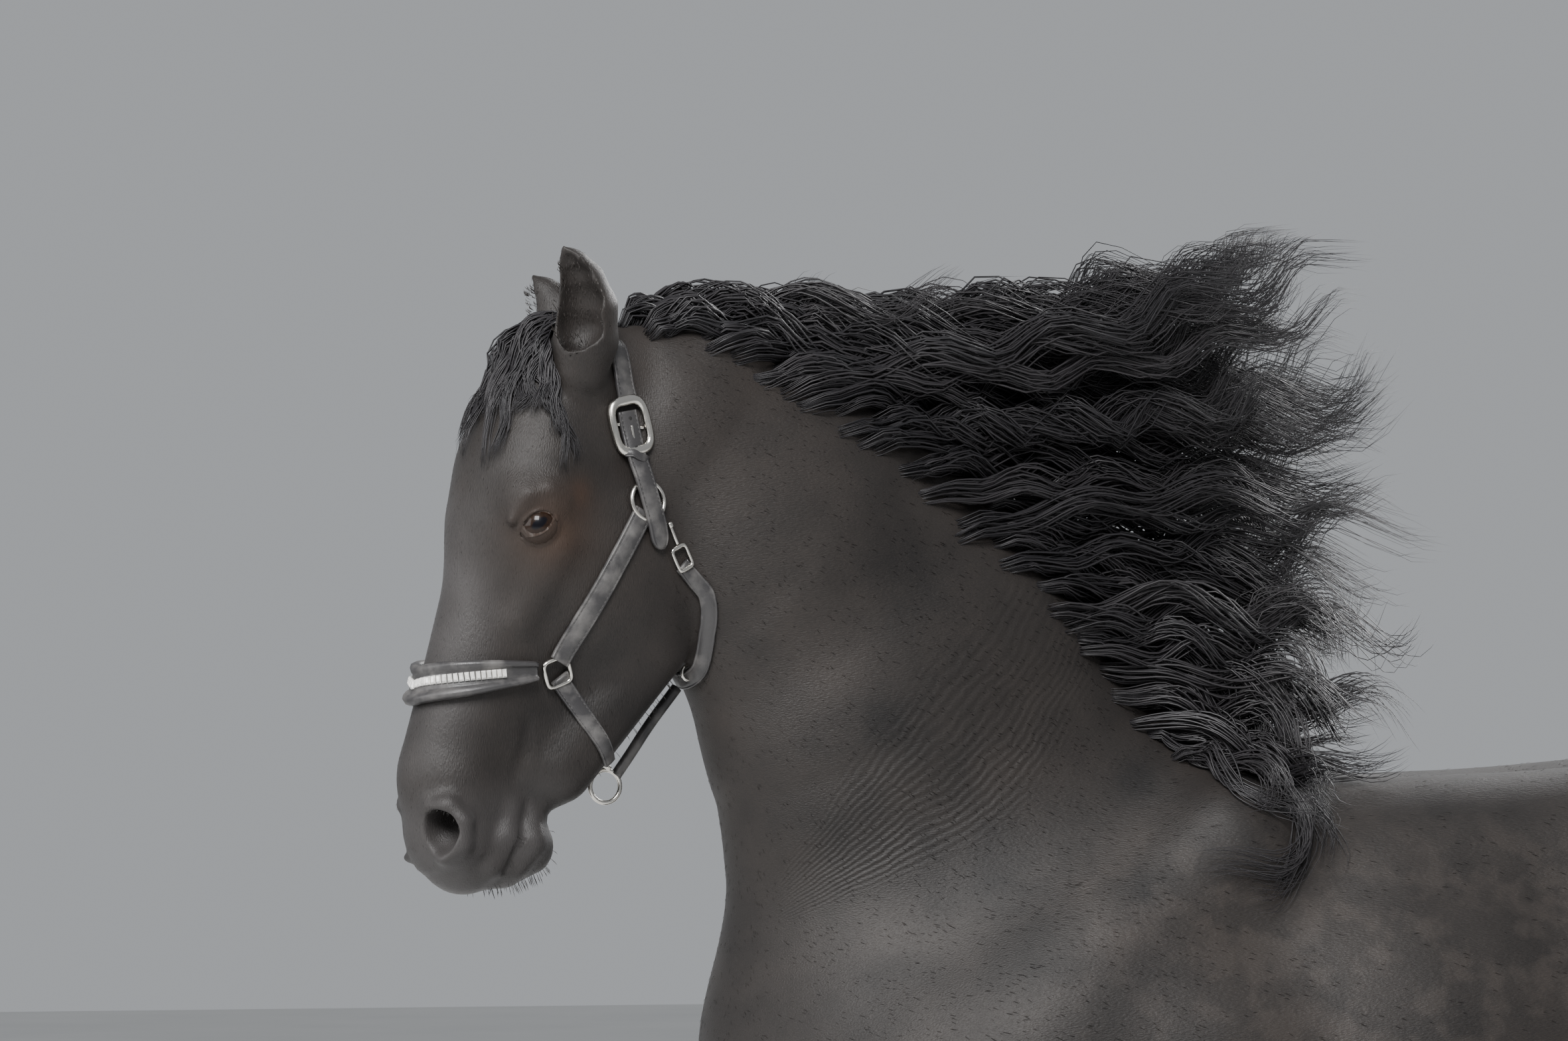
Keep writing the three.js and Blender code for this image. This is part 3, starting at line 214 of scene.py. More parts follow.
DOCK_LINE = [(1545, 0, 1526, 58), (1620, 0, 1536, 48), (1682, 0, 1500, 40), (1712, 0, 1430, 34),
             (1722, 0, 1345, 26), (1724, 0, 1270, 16)]
DOCK = chain(DOCK_LINE, 1.05, 40, 0.0)
CREST = chain([(x, 0, z, r) for x, z, r in CREST_LINE], 1.1, 40, 0.0)
EAR_LINE = [(-44, 54, 2074, 32), (-40, 62, 2108, 34), (-41, 69, 2143, 31), (-50, 74, 2172, 23),
            (-63, 78, 2192, 13), (-75, 80, 2207, 3)]
EAR_CUP_LINE = [(-54, 68, 2096, 14), (-53, 76, 2120, 23), (-55, 82, 2148, 21), (-63, 85, 2174, 14),
                (-73, 86, 2190, 8), (-82, 87, 2203, 3)]
NOSTRIL_LINE = [(-214, 36, 1602, 5), (-200, 50, 1602, 7), (-186, 57, 1584, 8), (-187, 56, 1562, 7),
                (-203, 46, 1546, 6)]
EARS = chain(EAR_LINE, 1, 14)
EAR_CUPS = chain(EAR_CUP_LINE, 1, 6)
NOSTRIL_RIMS = chain(NOSTRIL_LINE, 1, 18)
NOSTRILS = chain([(-216, 50, 1563, 16), (-202, 45, 1576, 20), (-182, 32, 1594, 14)], 0.85, 8)
WIDEST = 200.0


def on_side(x, z, masses):
    """How far out to the side the masses reach at a place of the side view."""
    low, high = 0.0, WIDEST
    for _ in range(20):
        y = (low + high) / 2
        d = FAR
        for m in masses:
            d = melt(d, distance_to(m, np.array([x]), np.array([y]), np.array([z]))[0], m[5])
        low, high = (y, high) if d < 0 else (low, y)
    return (low + high) / 2


def side_chain(stations, masses, sunk, blend):
    """A chain laid on the masses' side surface, each station an (x from the poll, z, radius)."""
    placed = [(x, on_side(x + POLL_X, z, masses) - sunk, z, radius) for x, z, radius in stations]
    return chain(placed, 1, blend)


LIPS = side_chain([(-86, 1588, 11), (-92, 1562, 13), (-106, 1536, 12)], SKULL, 7, 18)
LIPS += side_chain([(-116, 1596, 9), (-124, 1566, 10), (-138, 1536, 10)], SKULL, 6, 18)
MOUTH = side_chain([(-96, 1604, 2.5), (-104, 1580, 3), (-114, 1552, 3), (-124, 1528, 3)], SKULL + LIPS, 0, 3)
LID_FOLD = chain([(-136, 80, 1912, 5), (-120, 84, 1938, 6), (-98, 88, 1945, 6), (-80, 88, 1934, 5)], 1, 12)
CREASES = side_chain([(-112, 1636, 3), (-104, 1660, 3), (-100, 1690, 2)], SKULL, -1, 8)

HEAD = SKULL + EARS + NOSTRIL_RIMS + LIPS + LID_FOLD
BODY = TRUNK + DOCK + NECK + CREST + HEAD + FORELEG + HINDLEG
HOLLOWS = EAR_CUPS + NOSTRILS + MOUTH + CREASES
BOX_MARGIN = 30.0


def box_of(m):
    """The box outside which a mass can't change the surface."""
    start, end, start_radius, end_radius, flat, blend = m
    r = max(start_radius, end_radius) * max(flat, 1.0) + blend + BOX_MARGIN
    return np.minimum(start, end) - r, np.maximum(start, end) + r


EYE_OUT = unit(EYE_AXIS)
EYE_ALONG = unit(EYE_CORNERS - (EYE_CORNERS @ EYE_OUT) * EYE_OUT)
EYE_UP = np.cross(EYE_ALONG, EYE_OUT)
EYE_UP = EYE_UP * np.sign(EYE_UP[2])
EYE_ROOM = EYE_RADIUS + 0.3
LID_THICKNESS = 4.5
LID_REACH = 24.0
LID_MELT = 4.0
UPPER_LID = 11.5
LOWER_LID = 10.0
LID_BOX = (70, 60, 70)


def lid_opening(points):
    """Offsets from the eye's middle, their lengths, and how far each is past the lids' almond opening."""
    q = points - EYE
    up = q @ EYE_UP
    narrow = np.maximum(0.0, 1 - (q @ EYE_ALONG / LID_REACH) ** 2)
    past = np.maximum(up - UPPER_LID * narrow, -up - LOWER_LID * narrow)
    return q, np.linalg.norm(q, axis=1), np.maximum(past, -(q @ EYE_OUT))


def with_lids(d, x, y, z):
    """The field with the eyeball's room cut out and lids laid over it, open in an almond."""
    points = np.stack((x, y, z), 1)
    near = np.flatnonzero((np.abs(points - EYE) < LID_BOX).all(1))
    if not len(near):
        return d
    _, r, past = lid_opening(points[near])
    shell = np.maximum(r - EYE_RADIUS - LID_THICKNESS, EYE_ROOM - r)
    carved = np.maximum(d[near], EYE_ROOM - r)
    d[near] = melt(carved, np.maximum(shell, -past), LID_MELT)
    return d


def field(points, whole=True):
    """Signed distance, in millimetres, of points from the body's surface; negative inside."""
    x, y, z = points[:, 0], np.abs(points[:, 1]), points[:, 2]
    d = np.full(len(points), FAR)
    for sign, shapes in ((1, BODY), (-1, HOLLOWS if whole else [])):
        for m in shapes:
            low, high = box_of(m)
            near = (x > low[0]) & (x < high[0]) & (y > low[1]) & (y < high[1]) & (z > low[2]) & (z < high[2])
            near = np.flatnonzero(near)
            if len(near):
                d[near] = sign * melt(sign * d[near], distance_to(m, x[near], y[near], z[near]), m[5])
    return with_lids(d, x, y, z) if whole else d


def sunk_behind_eye(points):
    """Skin points between the lids moved back behind the eyeball's surface."""
    side = np.where(points[:, 1] < 0, -1.0, 1.0)
    q, r, past = lid_opening(mirrored(points))
    between = (past < 0) & (r < EYE_RADIUS + 1.2)
    back = np.where(between, (EYE_RADIUS - 2.5) / np.maximum(r, TINY), 1.0)
    moved = EYE + q * back[:, None]
    moved[:, 1] *= side
    return np.where(between[:, None], moved, points)


def slope(points, reach=0.6, whole=True):
    """The field's gradient at points."""
    out = np.empty_like(points)
    for k in range(3):
        step = np.zeros(3)
        step[k] = reach
        out[:, k] = (field(points + step, whole) - field(points - step, whole)) / (2 * reach)
    return out


FLATTEST = 0.04


def settle(points, lift=0.0, rounds=3, most=12.0, whole=True):
    """Points moved onto the body's surface, or a lift above it."""
    points = np.array(points, float)
    for _ in range(rounds):
        g = slope(points, whole=whole)
        steep = np.maximum((g * g).sum(1), FLATTEST)
        move = ((field(points, whole) - lift) / steep)[:, None] * g
        far = np.linalg.norm(move, axis=1)
        points -= move * np.minimum(1.0, most / np.maximum(far, TINY))[:, None]
    return points


def outward_at(points, whole=False):
    """Unit directions straight out of the body."""
    return unit(slope(points, whole=whole))


# From the straight, square-standing body to the posed one


def smooth(value, low, high):
    """From 0 at low to 1 at high, level at both."""
    t = np.clip((value - low) / (high - low), 0.0, 1.0)
    return t * t * (3 - 2 * t)


def posed(points):
    """Bends the neck to the horse's left, sets the legs in their stride and lowers the right ear."""
    p = np.array(points, float)
    mine = smooth(p[:, 1], *RIGHT_EAR_Y) * (1 - smooth(p[:, 0], *RIGHT_EAR_X))
    turned = EAR_TURNS_BACK * mine * smooth(p[:, 2], *EAR_TURNS_FROM)
    p += (mine * np.maximum(0, p[:, 2] - EAR_LOWERS_FROM))[:, None] * EAR_LOWERS
    p[:, 0] += turned
    (hx, hz), (lx, lz) = NECK_SEAM
    length = math.hypot(hx - lx, hz - lz)
    over = (-(hz - lz) * (p[:, 0] - lx) + (hx - lx) * (p[:, 2] - lz)) / length
    angle = HEAD_YAW * smooth(over, 0.0, YAW_RUN)
    dx, y = p[:, 0] - YAW_PIVOT_X, p[:, 1].copy()
    x = YAW_PIVOT_X + dx * np.cos(angle) - y * np.sin(angle)
    y = dx * np.sin(angle) + y * np.cos(angle)
    low = np.maximum(0.0, 1 - p[:, 2] / LEG_SEAM_Z)
    fore = np.where(p[:, 1] < 0, *STRIDES["fore"])
    hind = np.where(p[:, 1] < 0, *STRIDES["hind"])
    legs = (p[:, 2] < LEG_SEAM_Z) & (p[:, 0] < TAIL_X)
    return np.stack((x + np.where(p[:, 0] < BELLY_X, fore, hind) * low * legs, y, p[:, 2]), 1)


def to_frame(points):
    """Straight millimetres to the frame's metres."""
    return (posed(points) - (ORIGIN_X, 0.0, 0.0)) * MM


# Meshes


def new_mesh(name, verts, faces):
    """A smooth mesh object of triangles or quads, from arrays."""
    mesh = bpy.data.meshes.new(name)
    verts = np.asarray(verts, np.float32)
    faces = np.asarray(faces, np.int32)
    sides = faces.shape[1]
    mesh.vertices.add(len(verts))
    mesh.vertices.foreach_set("co", verts.ravel())
    mesh.loops.add(faces.size)
    mesh.loops.foreach_set("vertex_index", faces.ravel())
    mesh.polygons.add(len(faces))
    mesh.polygons.foreach_set("loop_start", np.arange(0, faces.size, sides, dtype=np.int32))
    mesh.polygons.foreach_set("loop_total", np.full(len(faces), sides, np.int32))
    mesh.update(calc_edges=True)
    mesh.polygons.foreach_set("use_smooth", np.ones(len(mesh.polygons), bool))
    piece = bpy.data.objects.new(name, mesh)
    bpy.context.scene.collection.objects.link(piece)
    return piece


def coords(piece):
    """A piece's points, as they stand in its mesh."""
    co = np.empty(len(piece.data.vertices) * 3, np.float32)
    piece.data.vertices.foreach_get("co", co)
    return co.reshape(-1, 3).astype(float)


def set_coords(piece, points):
    piece.data.vertices.foreach_set("co", np.asarray(points, np.float32).ravel())
    piece.data.update()


def surface_net(values, axes):
    """Quads round the zero surface of field values on a grid with its own spacing along each axis."""
    ids, sums, quads = [], [], []
    shape = np.array(values.shape)
    for axis in range(3):
        a, b = (axis + 1) % 3, (axis + 2) % 3
        ahead = np.moveaxis(values, axis, 0)
        crossing = np.moveaxis((ahead[:-1] < 0) != (ahead[1:] < 0), 0, axis)
        edges = np.argwhere(crossing)
        inside = (edges[:, a] > 0) & (edges[:, a] < shape[a] - 1)
        inside &= (edges[:, b] > 0) & (edges[:, b] < shape[b] - 1)
        edges = edges[inside]
        ends = edges.copy()
        ends[:, axis] += 1
        v0, v1 = values[tuple(edges.T)], values[tuple(ends.T)]
        where = edges.astype(float)
        where[:, axis] += v0 / (v0 - v1)
        cells = []
        for da, db in ((0, 0), (-1, 0), (-1, -1), (0, -1)):
            c = edges.copy()
            c[:, a] += da
            c[:, b] += db
            cells.append(np.ravel_multi_index(c.T, shape))
            ids.append(cells[-1])
            sums.append(where)
        quad = np.stack(cells, 1)
        quad[v0 >= 0] = quad[v0 >= 0][:, ::-1]
        quads.append(quad)
    used, inverse = np.unique(np.concatenate(ids), return_inverse=True)
    where = np.concatenate(sums)
    counts = np.bincount(inverse)
    verts = np.stack([np.bincount(inverse, weights=where[:, k]) / counts for k in range(3)], 1)
    verts = np.stack([np.interp(verts[:, k], np.arange(shape[k]), axes[k]) for k in range(3)], 1)
    return verts, np.searchsorted(used, np.concatenate(quads))


def ruler(*marks):
    """Grid places along an axis: (start, step), (next start, step) ... and the end."""
    places = []
    for (start, step), (end, _) in zip(marks, marks[1:]):
        count = max(1, round((end - start) / step))
        places.append(np.linspace(start, end, count, endpoint=False))
    return np.concatenate([*places, [marks[-1][0]]])


# Grid of the skin's net: places where its step changes, and the step from there
NET_X = ((-520, 5.5), (-90, 13), (1720, 0))
NET_Y = ((0, 6.3), (120, 13.5), (370, 0))
NET_Z = ((60, 13.5), (1490, 6.8), (2230, 0))


def body_net():
    """The straight body as one closed net, finer on the head, mirrored about its middle."""
    xs, ys, zs = (ruler(*marks) for marks in (NET_X, NET_Y, NET_Z))
    axes = [xs, ys, zs]
    values = np.full([len(a) for a in axes], FAR, np.float32)
    for sign, m in [(1, m) for m in BODY] + [(-1, m) for m in EAR_CUPS + NOSTRILS]:
        low, high = box_of(m)
        span = tuple(slice(*np.searchsorted(axes[k], (low[k], high[k]))) for k in range(3))
        if all(s.start < s.stop for s in span):
            x, y, z = np.meshgrid(*[axes[k][span[k]] for k in range(3)], indexing="ij")
            values[span] = sign * melt(sign * values[span], distance_to(m, x, y, z), m[5])
    whole = np.concatenate((values[:, :0:-1], values), 1)
    return surface_net(whole, [xs, np.concatenate((-ys[:0:-1], ys)), zs])


def finer(piece, chosen):
    """Halves the edges whose ends are both chosen."""
    bm = bmesh.new()
    bm.from_mesh(piece.data)
    bm.verts.ensure_lookup_table()
    edges = [e for e in bm.edges if chosen[e.verts[0].index] and chosen[e.verts[1].index]]
    bmesh.ops.subdivide_edges(bm, edges=edges, cuts=1, use_grid_fill=True)
    bmesh.ops.triangulate(bm, faces=[f for f in bm.faces if len(f.verts) > 4])
    bm.to_mesh(piece.data)
    bm.free()


def relaxed(piece, points, chosen, share):
    """Chosen points moved a share of the way to the middle of their neighbours."""
    edges = np.empty(len(piece.data.edges) * 2, np.int32)
    piece.data.edges.foreach_get("vertices", edges)
    edges = edges.reshape(-1, 2)
    count = np.bincount(edges.ravel(), minlength=len(points))
    middle = np.empty_like(points)
    for k in range(3):
        total = np.bincount(edges[:, 0], weights=points[edges[:, 1], k], minlength=len(points))
        total += np.bincount(edges[:, 1], weights=points[edges[:, 0], k], minlength=len(points))
        middle[:, k] = total / np.maximum(count, 1)
    return np.where(chosen[:, None], points + share * (middle - points), points)


# Pieces: what they all share


def finished(piece, finish, slot, *replaced):
    """Gives a piece its material and hides the nodes that it takes the place of; the slot is not used."""
    piece.data.materials.append(finish)
    if replaced:
        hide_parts(*replaced)
    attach(piece, "root")
    return piece


def put(piece, name, values):
    """A number or a vector kept at each point of a piece."""
    values = np.asarray(values, np.float32)
    kind, key = ("FLOAT", "value") if values.ndim == 1 else ("FLOAT_VECTOR", "vector")
    piece.data.attributes.new(name, kind, "POINT").data.foreach_set(key, values.ravel())


def face_outward(piece):
    """Turns every face of a closed piece outward."""
    bm = bmesh.new()
    bm.from_mesh(piece.data)
    bmesh.ops.recalc_face_normals(bm, faces=bm.faces)
    if bm.calc_volume(signed=True) < 0:
        bmesh.ops.reverse_faces(bm, faces=bm.faces)
    bm.to_mesh(piece.data)
    bm.free()


def shade_smooth(piece, smooth_faces=True):
    piece.data.polygons.foreach_set("use_smooth", np.full(len(piece.data.polygons), smooth_faces))


def wall(rings, sides):
    """Triangles that join rings of points, each of the same number of sides, into a tube."""
    faces = []
    for i in range(rings - 1):
        for j in range(sides):
            a, b = i * sides + j, i * sides + (j + 1) % sides
            faces += [(a, b, b + sides), (a, b + sides, a + sides)]
    return faces


def caps(rings, sides):
    """Fans that close a tube's ends round two middle points, which follow the rings' own points."""
    faces = []
    first, last, top = rings * sides, rings * sides + 1, (rings - 1) * sides
    for j in range(sides):
        k = (j + 1) % sides
        faces += [(first, k, j), (last, top + j, top + k)]
    return faces


# Markings of the hide, with its painted sheen and painted shade

# Painted sheen (positive strength) and painted shade in the neck's hollows, a crease and a band (negative
# strength), on the neck and shoulder in the photograph's pixels: place, half sizes and strength
PAINTED_LIGHT = [
    (1365, 1395, 130, 55, 0.8),
    (1672, 1405, 62, 45, 0.7),
    (1257, 1016, 95, 55, 0.6),
    (1715, 1157, 40, 50, -0.9),
    (1727, 1340, 45, 40, -0.8),
    (1362, 1078, 70, 70, -0.7),
    (1362, 1452, 60, 26, -0.6),
    (1560, 1500, 90, 50, 0.5),
]
# Folds of the neck in the photograph's pixels: they fan out from its foot and bend up towards the mane
FOLD_START = (1080.0, 1430.0)
FOLD_BEND_FROM = 1450.0
FOLD_BEND = 0.004
FOLD_DEGREES = 1.9
FOLD_FAN = ((20, 29), (47, 58))
FOLD_RUN = ((1130, 1260), (1690, 1790))
# Brown round the eye and at a spot above it: place from the eye, radius and strength
BROWN_SPOTS = [((14, 6, -4), 42, 1.0), ((46, 4, 34), 17, 0.8)]
# Sheen painted grey down the nose's bridge: the mass it follows and how far it reaches
NOSE_BRIDGE = SKULL[3]
BRIDGE_SHEEN_REACH = 15.0


def photo_place(points):
    """Where straight points come to lie in the photograph, in its pixels."""
    p = posed(points)
    across = p[:, 0] * math.cos(CAMERA_AZIMUTH) + p[:, 1] * math.sin(CAMERA_AZIMUTH)
    return FRAME_MIDDLE[0] + across / PIXEL_MM, (FRAME_TOP_Z - p[:, 2]) / PIXEL_MM


def hump(value, rise, fall):
    """From 0 to 1 over the rise and back to 0 over the fall."""
    return smooth(value, *rise) * (1 - smooth(value, *fall))


def head_share(x, z):
    """How much a place belongs to the head, from 0 on the neck to 1."""
    return (1 - smooth(x, POLL_X - 30, POLL_X + 120)) * smooth(z, 1450, 1550)


def leg_share(z):
    return 1 - smooth(z, 800, 1100)


def marks_and_painted_light(points):
    """Tints, painted sheen and shade, and neck folds at straight points, for the skin and the short coat
    alike.
    """
    x, y, z = points.T
    brown = 0.0
    for place, radius, strength in BROWN_SPOTS:
        off_spot = np.linalg.norm(mirrored(points) - EYE - place, axis=1)
        brown = brown + strength * np.exp(-((off_spot / radius) ** 2))
    off_bridge = np.maximum(distance_to(NOSE_BRIDGE, x, np.abs(y), z), 0)
    bridge = np.exp(-((off_bridge / BRIDGE_SHEEN_REACH) ** 2))
    muzzle = hump(z, (1480, 1500), (1575, 1660)) * (1 - smooth(x, POLL_X - 90, POLL_X - 20))
    px, py = photo_place(points)
    near = y < 20
    # Painted sheen and painted shade, only on the near side
    painted_light = 0.0
    for across, up, width, height, strength in PAINTED_LIGHT:
        painted_light = painted_light + strength * np.exp(-(((px - across) / width) ** 2) - ((py - up) / height) ** 2)
    bent = py + FOLD_BEND * np.maximum(0, px - FOLD_BEND_FROM) ** 2
    fan = np.degrees(np.arctan2(FOLD_START[1] - bent, px - FOLD_START[0]))
    return {
        "brown": brown,
        # Grey of the bare muzzle, and painted sheen down the nose's bridge
        "grey": np.maximum(0.9 * bridge, 0.8 * muzzle),
        "painted_light": painted_light * near,
        "fold": fan / FOLD_DEGREES,
        "fold_depth": hump(fan, *FOLD_FAN) * hump(px, *FOLD_RUN) * near,
        "downward": np.minimum(leg_share(z) + head_share(x, z), 1),
        "dapples": smooth(x, 120, 480) * hump(z, (850, 1050), (1480, 1640)),
    }


# Skin


def near_eye(p, reach):
    return np.linalg.norm(mirrored(p) - EYE, axis=1) < reach


def near_muzzle(p):
    return (p[:, 2] < 1612) & (p[:, 2] > 1495) & (p[:, 0] < POLL_X - 78)


def near_ear(p):
    return (p[:, 2] > 2076) & (p[:, 0] < POLL_X - 10) & (np.abs(p[:, 1]) > 28)


def fine_parts(p, eye_reach):
    return near_eye(p, eye_reach) | near_muzzle(p) | near_ear(p)


def make_skin(finish):
    """The whole hide, from the muzzle to the coronets, as one closed surface."""
    verts, faces = body_net()
    piece = new_mesh("skin", verts, faces)
    set_coords(piece, settle(coords(piece), -COAT_DEPTH, rounds=1))
    finer(piece, fine_parts(coords(piece), 48))
    finer(piece, near_eye(coords(piece), 36))
    p = coords(piece)
    detail = fine_parts(p, 60)
    for _ in range(7):
        p[detail] = settle(p[detail], -COAT_DEPTH, rounds=1, most=7.0)
        p = relaxed(piece, p, detail, 0.4)
    p = sunk_behind_eye(settle(p, -COAT_DEPTH, rounds=2, most=3.0))
    set_coords(piece, to_frame(p))
    put(piece, "straight", p)
    for name, values in marks_and_painted_light(p).items():
        put(piece, name, values)
    shade_smooth(piece)
    whole_nodes = ("torso", "head")
    limbs = ("foreleg", "hindleg", "ear")
    flesh = [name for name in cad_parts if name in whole_nodes or name.startswith(limbs)]
    finished(piece, finish, "coat", *flesh)


# Hair: closed, tapered, three-sided strands in locks that keep together and wave together

# Middle of the body from the muzzle to the tail, as (x, z)
SPINE = np.array([
    (-430, 1560), (-345, 1900), (-200, 2050), (60, 1820), (250, 1500), (600, 1300), (1500, 1300)
], float)
# Unwrap: the body takes the left part of the square, and each leg a block of its own on the right
BODY_SHARE = 0.6
LEG_BLOCKS_FROM = 0.64
LEG_BLOCK_STEP = 0.09
LEG_BLOCK_WIDTH = 0.08
MARGIN = 0.02
LEG_BLOCK_HEIGHT = 900.0
LEG_BLOCK_Z = 850.0
LEG_MIDDLES = (285, 1500)
PATCH = 0.003


def unwrapped(points):
    """Where skin points lie on an unwrap: along the body's spine and round it, with a block for each leg."""
    x, y, z = points.T
    best = np.full(len(points), 1e9)
    along, turn = np.zeros(len(points)), np.zeros(len(points))
    lengths = np.linalg.norm(np.diff(SPINE, axis=0), axis=1)
    starts = np.concatenate(([0], np.cumsum(lengths)))
    for k, (a, b) in enumerate(zip(SPINE, SPINE[1:])):
        d = (b - a) / lengths[k]
        t = np.clip((x - a[0]) * d[0] + (z - a[1]) * d[1], 0, lengths[k])
        off = np.hypot(x - a[0] - t * d[0], z - a[1] - t * d[1])
        closer = off < best
        best = np.where(closer, off, best)
        along = np.where(closer, starts[k] + t, along)
        above = (z - a[1] - t * d[1]) * d[0] - (x - a[0] - t * d[0]) * d[1]
        turn = np.where(closer, np.arctan2(y, above), turn)
    round_body = (turn + math.pi) / (2 * math.pi)
    uv = np.stack((MARGIN + BODY_SHARE * along / starts[-1], MARGIN + (1 - 2 * MARGIN) * round_body), 1)
    back = x > BELLY_X
    middle_x = np.where(back, LEG_MIDDLES[1], LEG_MIDDLES[0])
    round_leg = np.arctan2(np.abs(y) - np.where(back, HIND_Y, FORE_Y), x - middle_x)
    block = LEG_BLOCKS_FROM + LEG_BLOCK_STEP * (2 * back + (y > 0))
    leg_turn = (round_leg + math.pi) / (2 * math.pi)
    leg_uv = np.stack((block + LEG_BLOCK_WIDTH * leg_turn, MARGIN + z / LEG_BLOCK_HEIGHT), 1)
    return np.where((z < LEG_BLOCK_Z)[:, None], leg_uv, uv)


# Across a strand and up from its middle, in half widths
STRAND_SECTION = ((1.0, -0.35), (0.0, 1.0), (-1.0, -0.35))
STRAND_SIDES = len(STRAND_SECTION)
STRAND_FACING = np.array((0.25, -1.0, 0.15))


def strand_faces(steps):
    """Triangles of one strand: a root cap, its sides, and the last ones that meet at the tip."""
    per = (steps - 1) * STRAND_SIDES + 1
    last = (steps - 2) * STRAND_SIDES
    tip = [(last + j, last + (j + 1) % STRAND_SIDES, per - 1) for j in range(STRAND_SIDES)]
    return np.array([(0, 2, 1), *wall(steps - 1, STRAND_SIDES), *tip]), per


def strands(name, routes, widths, shades, finish, flatness=0.4, facing=None, slot="hair"):
    """One piece of hair: a strand along each route, all with the same number of points."""
    count, steps, _ = routes.shape
    t = np.linspace(0, 1, steps)
    world = to_frame(routes.reshape(-1, 3)).reshape(routes.shape)
    along = unit(np.gradient(world, axis=1))
    guide = STRAND_FACING if facing is None else facing[:, None, :]
    side = unit(np.cross(along, np.broadcast_to(guide, along.shape)))
    up = np.cross(side, along)
    body = np.minimum(1.0, 0.3 + 4.0 * t) * (1 - t ** 2.2) ** 0.8
    half = widths[:, None] * 0.5 * MM * body[None, :]
    rings = []
    for a, b in STRAND_SECTION:
        rings.append(world + side * (half * a)[..., None] + up * (half * b * flatness)[..., None])
    rings = np.stack(rings, 2)[:, :-1]
    faces, per = strand_faces(steps)
    verts = np.concatenate((rings.reshape(count, -1, 3), world[:, -1:]), 1).reshape(-1, 3)
    whole = (faces[None] + (np.arange(count) * per)[:, None, None]).reshape(-1, 3)
    piece = new_mesh(name, verts, whole)
    local = np.zeros((per, 2))
    local[:-1, 0] = np.repeat(np.arange(steps - 1) / steps, STRAND_SIDES) * PATCH
    local[:-1, 1] = np.tile(np.linspace(0, 1, STRAND_SIDES), steps - 1) * PATCH
    local[-1] = (PATCH, PATCH / 2)
    uv = (unwrapped(routes[:, 0])[:, None, :] + local[None]).reshape(-1, 2)
    layer = piece.data.uv_layers.new(name="OFBake")
    layer.data.foreach_set("uv", uv[whole.ravel()].astype(np.float32).ravel())
    put(piece, "shade", np.repeat(shades, per))
    put(piece, "along", np.tile(np.append(np.repeat(t[:-1], STRAND_SIDES), 1.0), count))
    if slot == "coat":
        for key, values in marks_and_painted_light(routes[:, 0]).items():
            put(piece, key, np.repeat(values, per))
    return finished(piece, finish, slot)


def bezier(a, b, c, d, steps):
    t = np.linspace(0, 1, steps)[None, :, None]
    a, b, c, d = (p[:, None, :] for p in (a, b, c, d))
    return a * (1 - t) ** 3 + 3 * b * t * (1 - t) ** 2 + 3 * c * t * t * (1 - t) + d * t ** 3


class Lock(NamedTuple):
    """How a lock's strands part, how close they are at its tip, and how they wave and stray."""

    spread: float
    tip_share: float
    wave: float
    wave_length: float
    stray: float


MANE_LOCK = Lock(15.0, 0.3, 19.0, 140.0, 10.0)
FORELOCK_LOCK = Lock(10.0, 0.4, 8.0, 70.0, 3.0)
TAIL_LOCK = Lock(20.0, 0.3, 10.0, 170.0, 9.0)
FEATHER_LOCK = Lock(10.0, 0.35, 3.0, 90.0, 4.0)


def fanned(rng, guides, each, lock):
    """Strands round each guide: apart at the middle, together at the tip, waving with their lock."""
    clumps, steps, _ = guides.shape
    total = clumps * each
    t = np.linspace(0, 1, steps)
    routes = np.repeat(guides, each, 0)
    ahead = np.gradient(routes, axis=1)
    length = np.linalg.norm(ahead, axis=2).sum(1)
    ahead = unit(ahead)
    side = unit(np.cross(ahead, np.array((0.0, 1.0, 0.0))))
    up = np.cross(side, ahead)
    angle, radius = rng.uniform(0, 2 * math.pi, total), np.sqrt(rng.uniform(0, 1, total))
    width = np.repeat(lock.spread * rng.uniform(0.7, 1.25, clumps), each) * radius
    shape = (np.minimum(1, 0.5 + 2 * t) * (1 - (1 - lock.tip_share) * t ** 1.3))[None, :]
    twist = angle[:, None] + np.repeat(rng.uniform(-2.5, 2.5, clumps), each)[:, None] * t[None, :]
    routes = routes + side * (np.cos(twist) * width[:, None] * shape)[..., None]
    routes = routes + up * (np.sin(twist) * width[:, None] * shape)[..., None]
    phase = np.repeat(rng.uniform(0, 2 * math.pi, clumps), each) + rng.normal(0, 0.35, total)
    turns = length / (lock.wave_length * np.repeat(rng.uniform(0.8, 1.3, clumps), each)) * 2 * math.pi
    height = lock.wave * np.repeat(rng.uniform(0.6, 1.3, clumps), each) * rng.uniform(0.7, 1.2, total)
    growth = np.minimum(1, t * 3.0)[None, :] * (0.6 + 0.6 * t)[None, :]
    swing = phase[:, None] + turns[:, None] * t[None, :]
    routes = routes + side * (np.sin(swing) * height[:, None] * growth)[..., None]
    routes = routes + up * (np.cos(swing * 0.9 + 1.3) * 0.7 * height[:, None] * growth)[..., None]
    stray = rng.normal(0, lock.stray, (total, 3))
    return routes + stray[:, None, :] * (t ** 1.5)[None, :, None]


def clear_of_skin(routes, lift, start=2):
    """Hair points moved out of the body, from a few steps past the root."""
    flat = routes[:, start:].reshape(-1, 3)
    for _ in range(2):
        d = field(flat, whole=False)
        low = np.flatnonzero(d < lift)
        if not len(low):
            break
        flat[low] += outward_at(flat[low]) * (lift - d[low])[:, None]
    routes[:, start:] = flat.reshape(routes[:, start:].shape)
    return routes


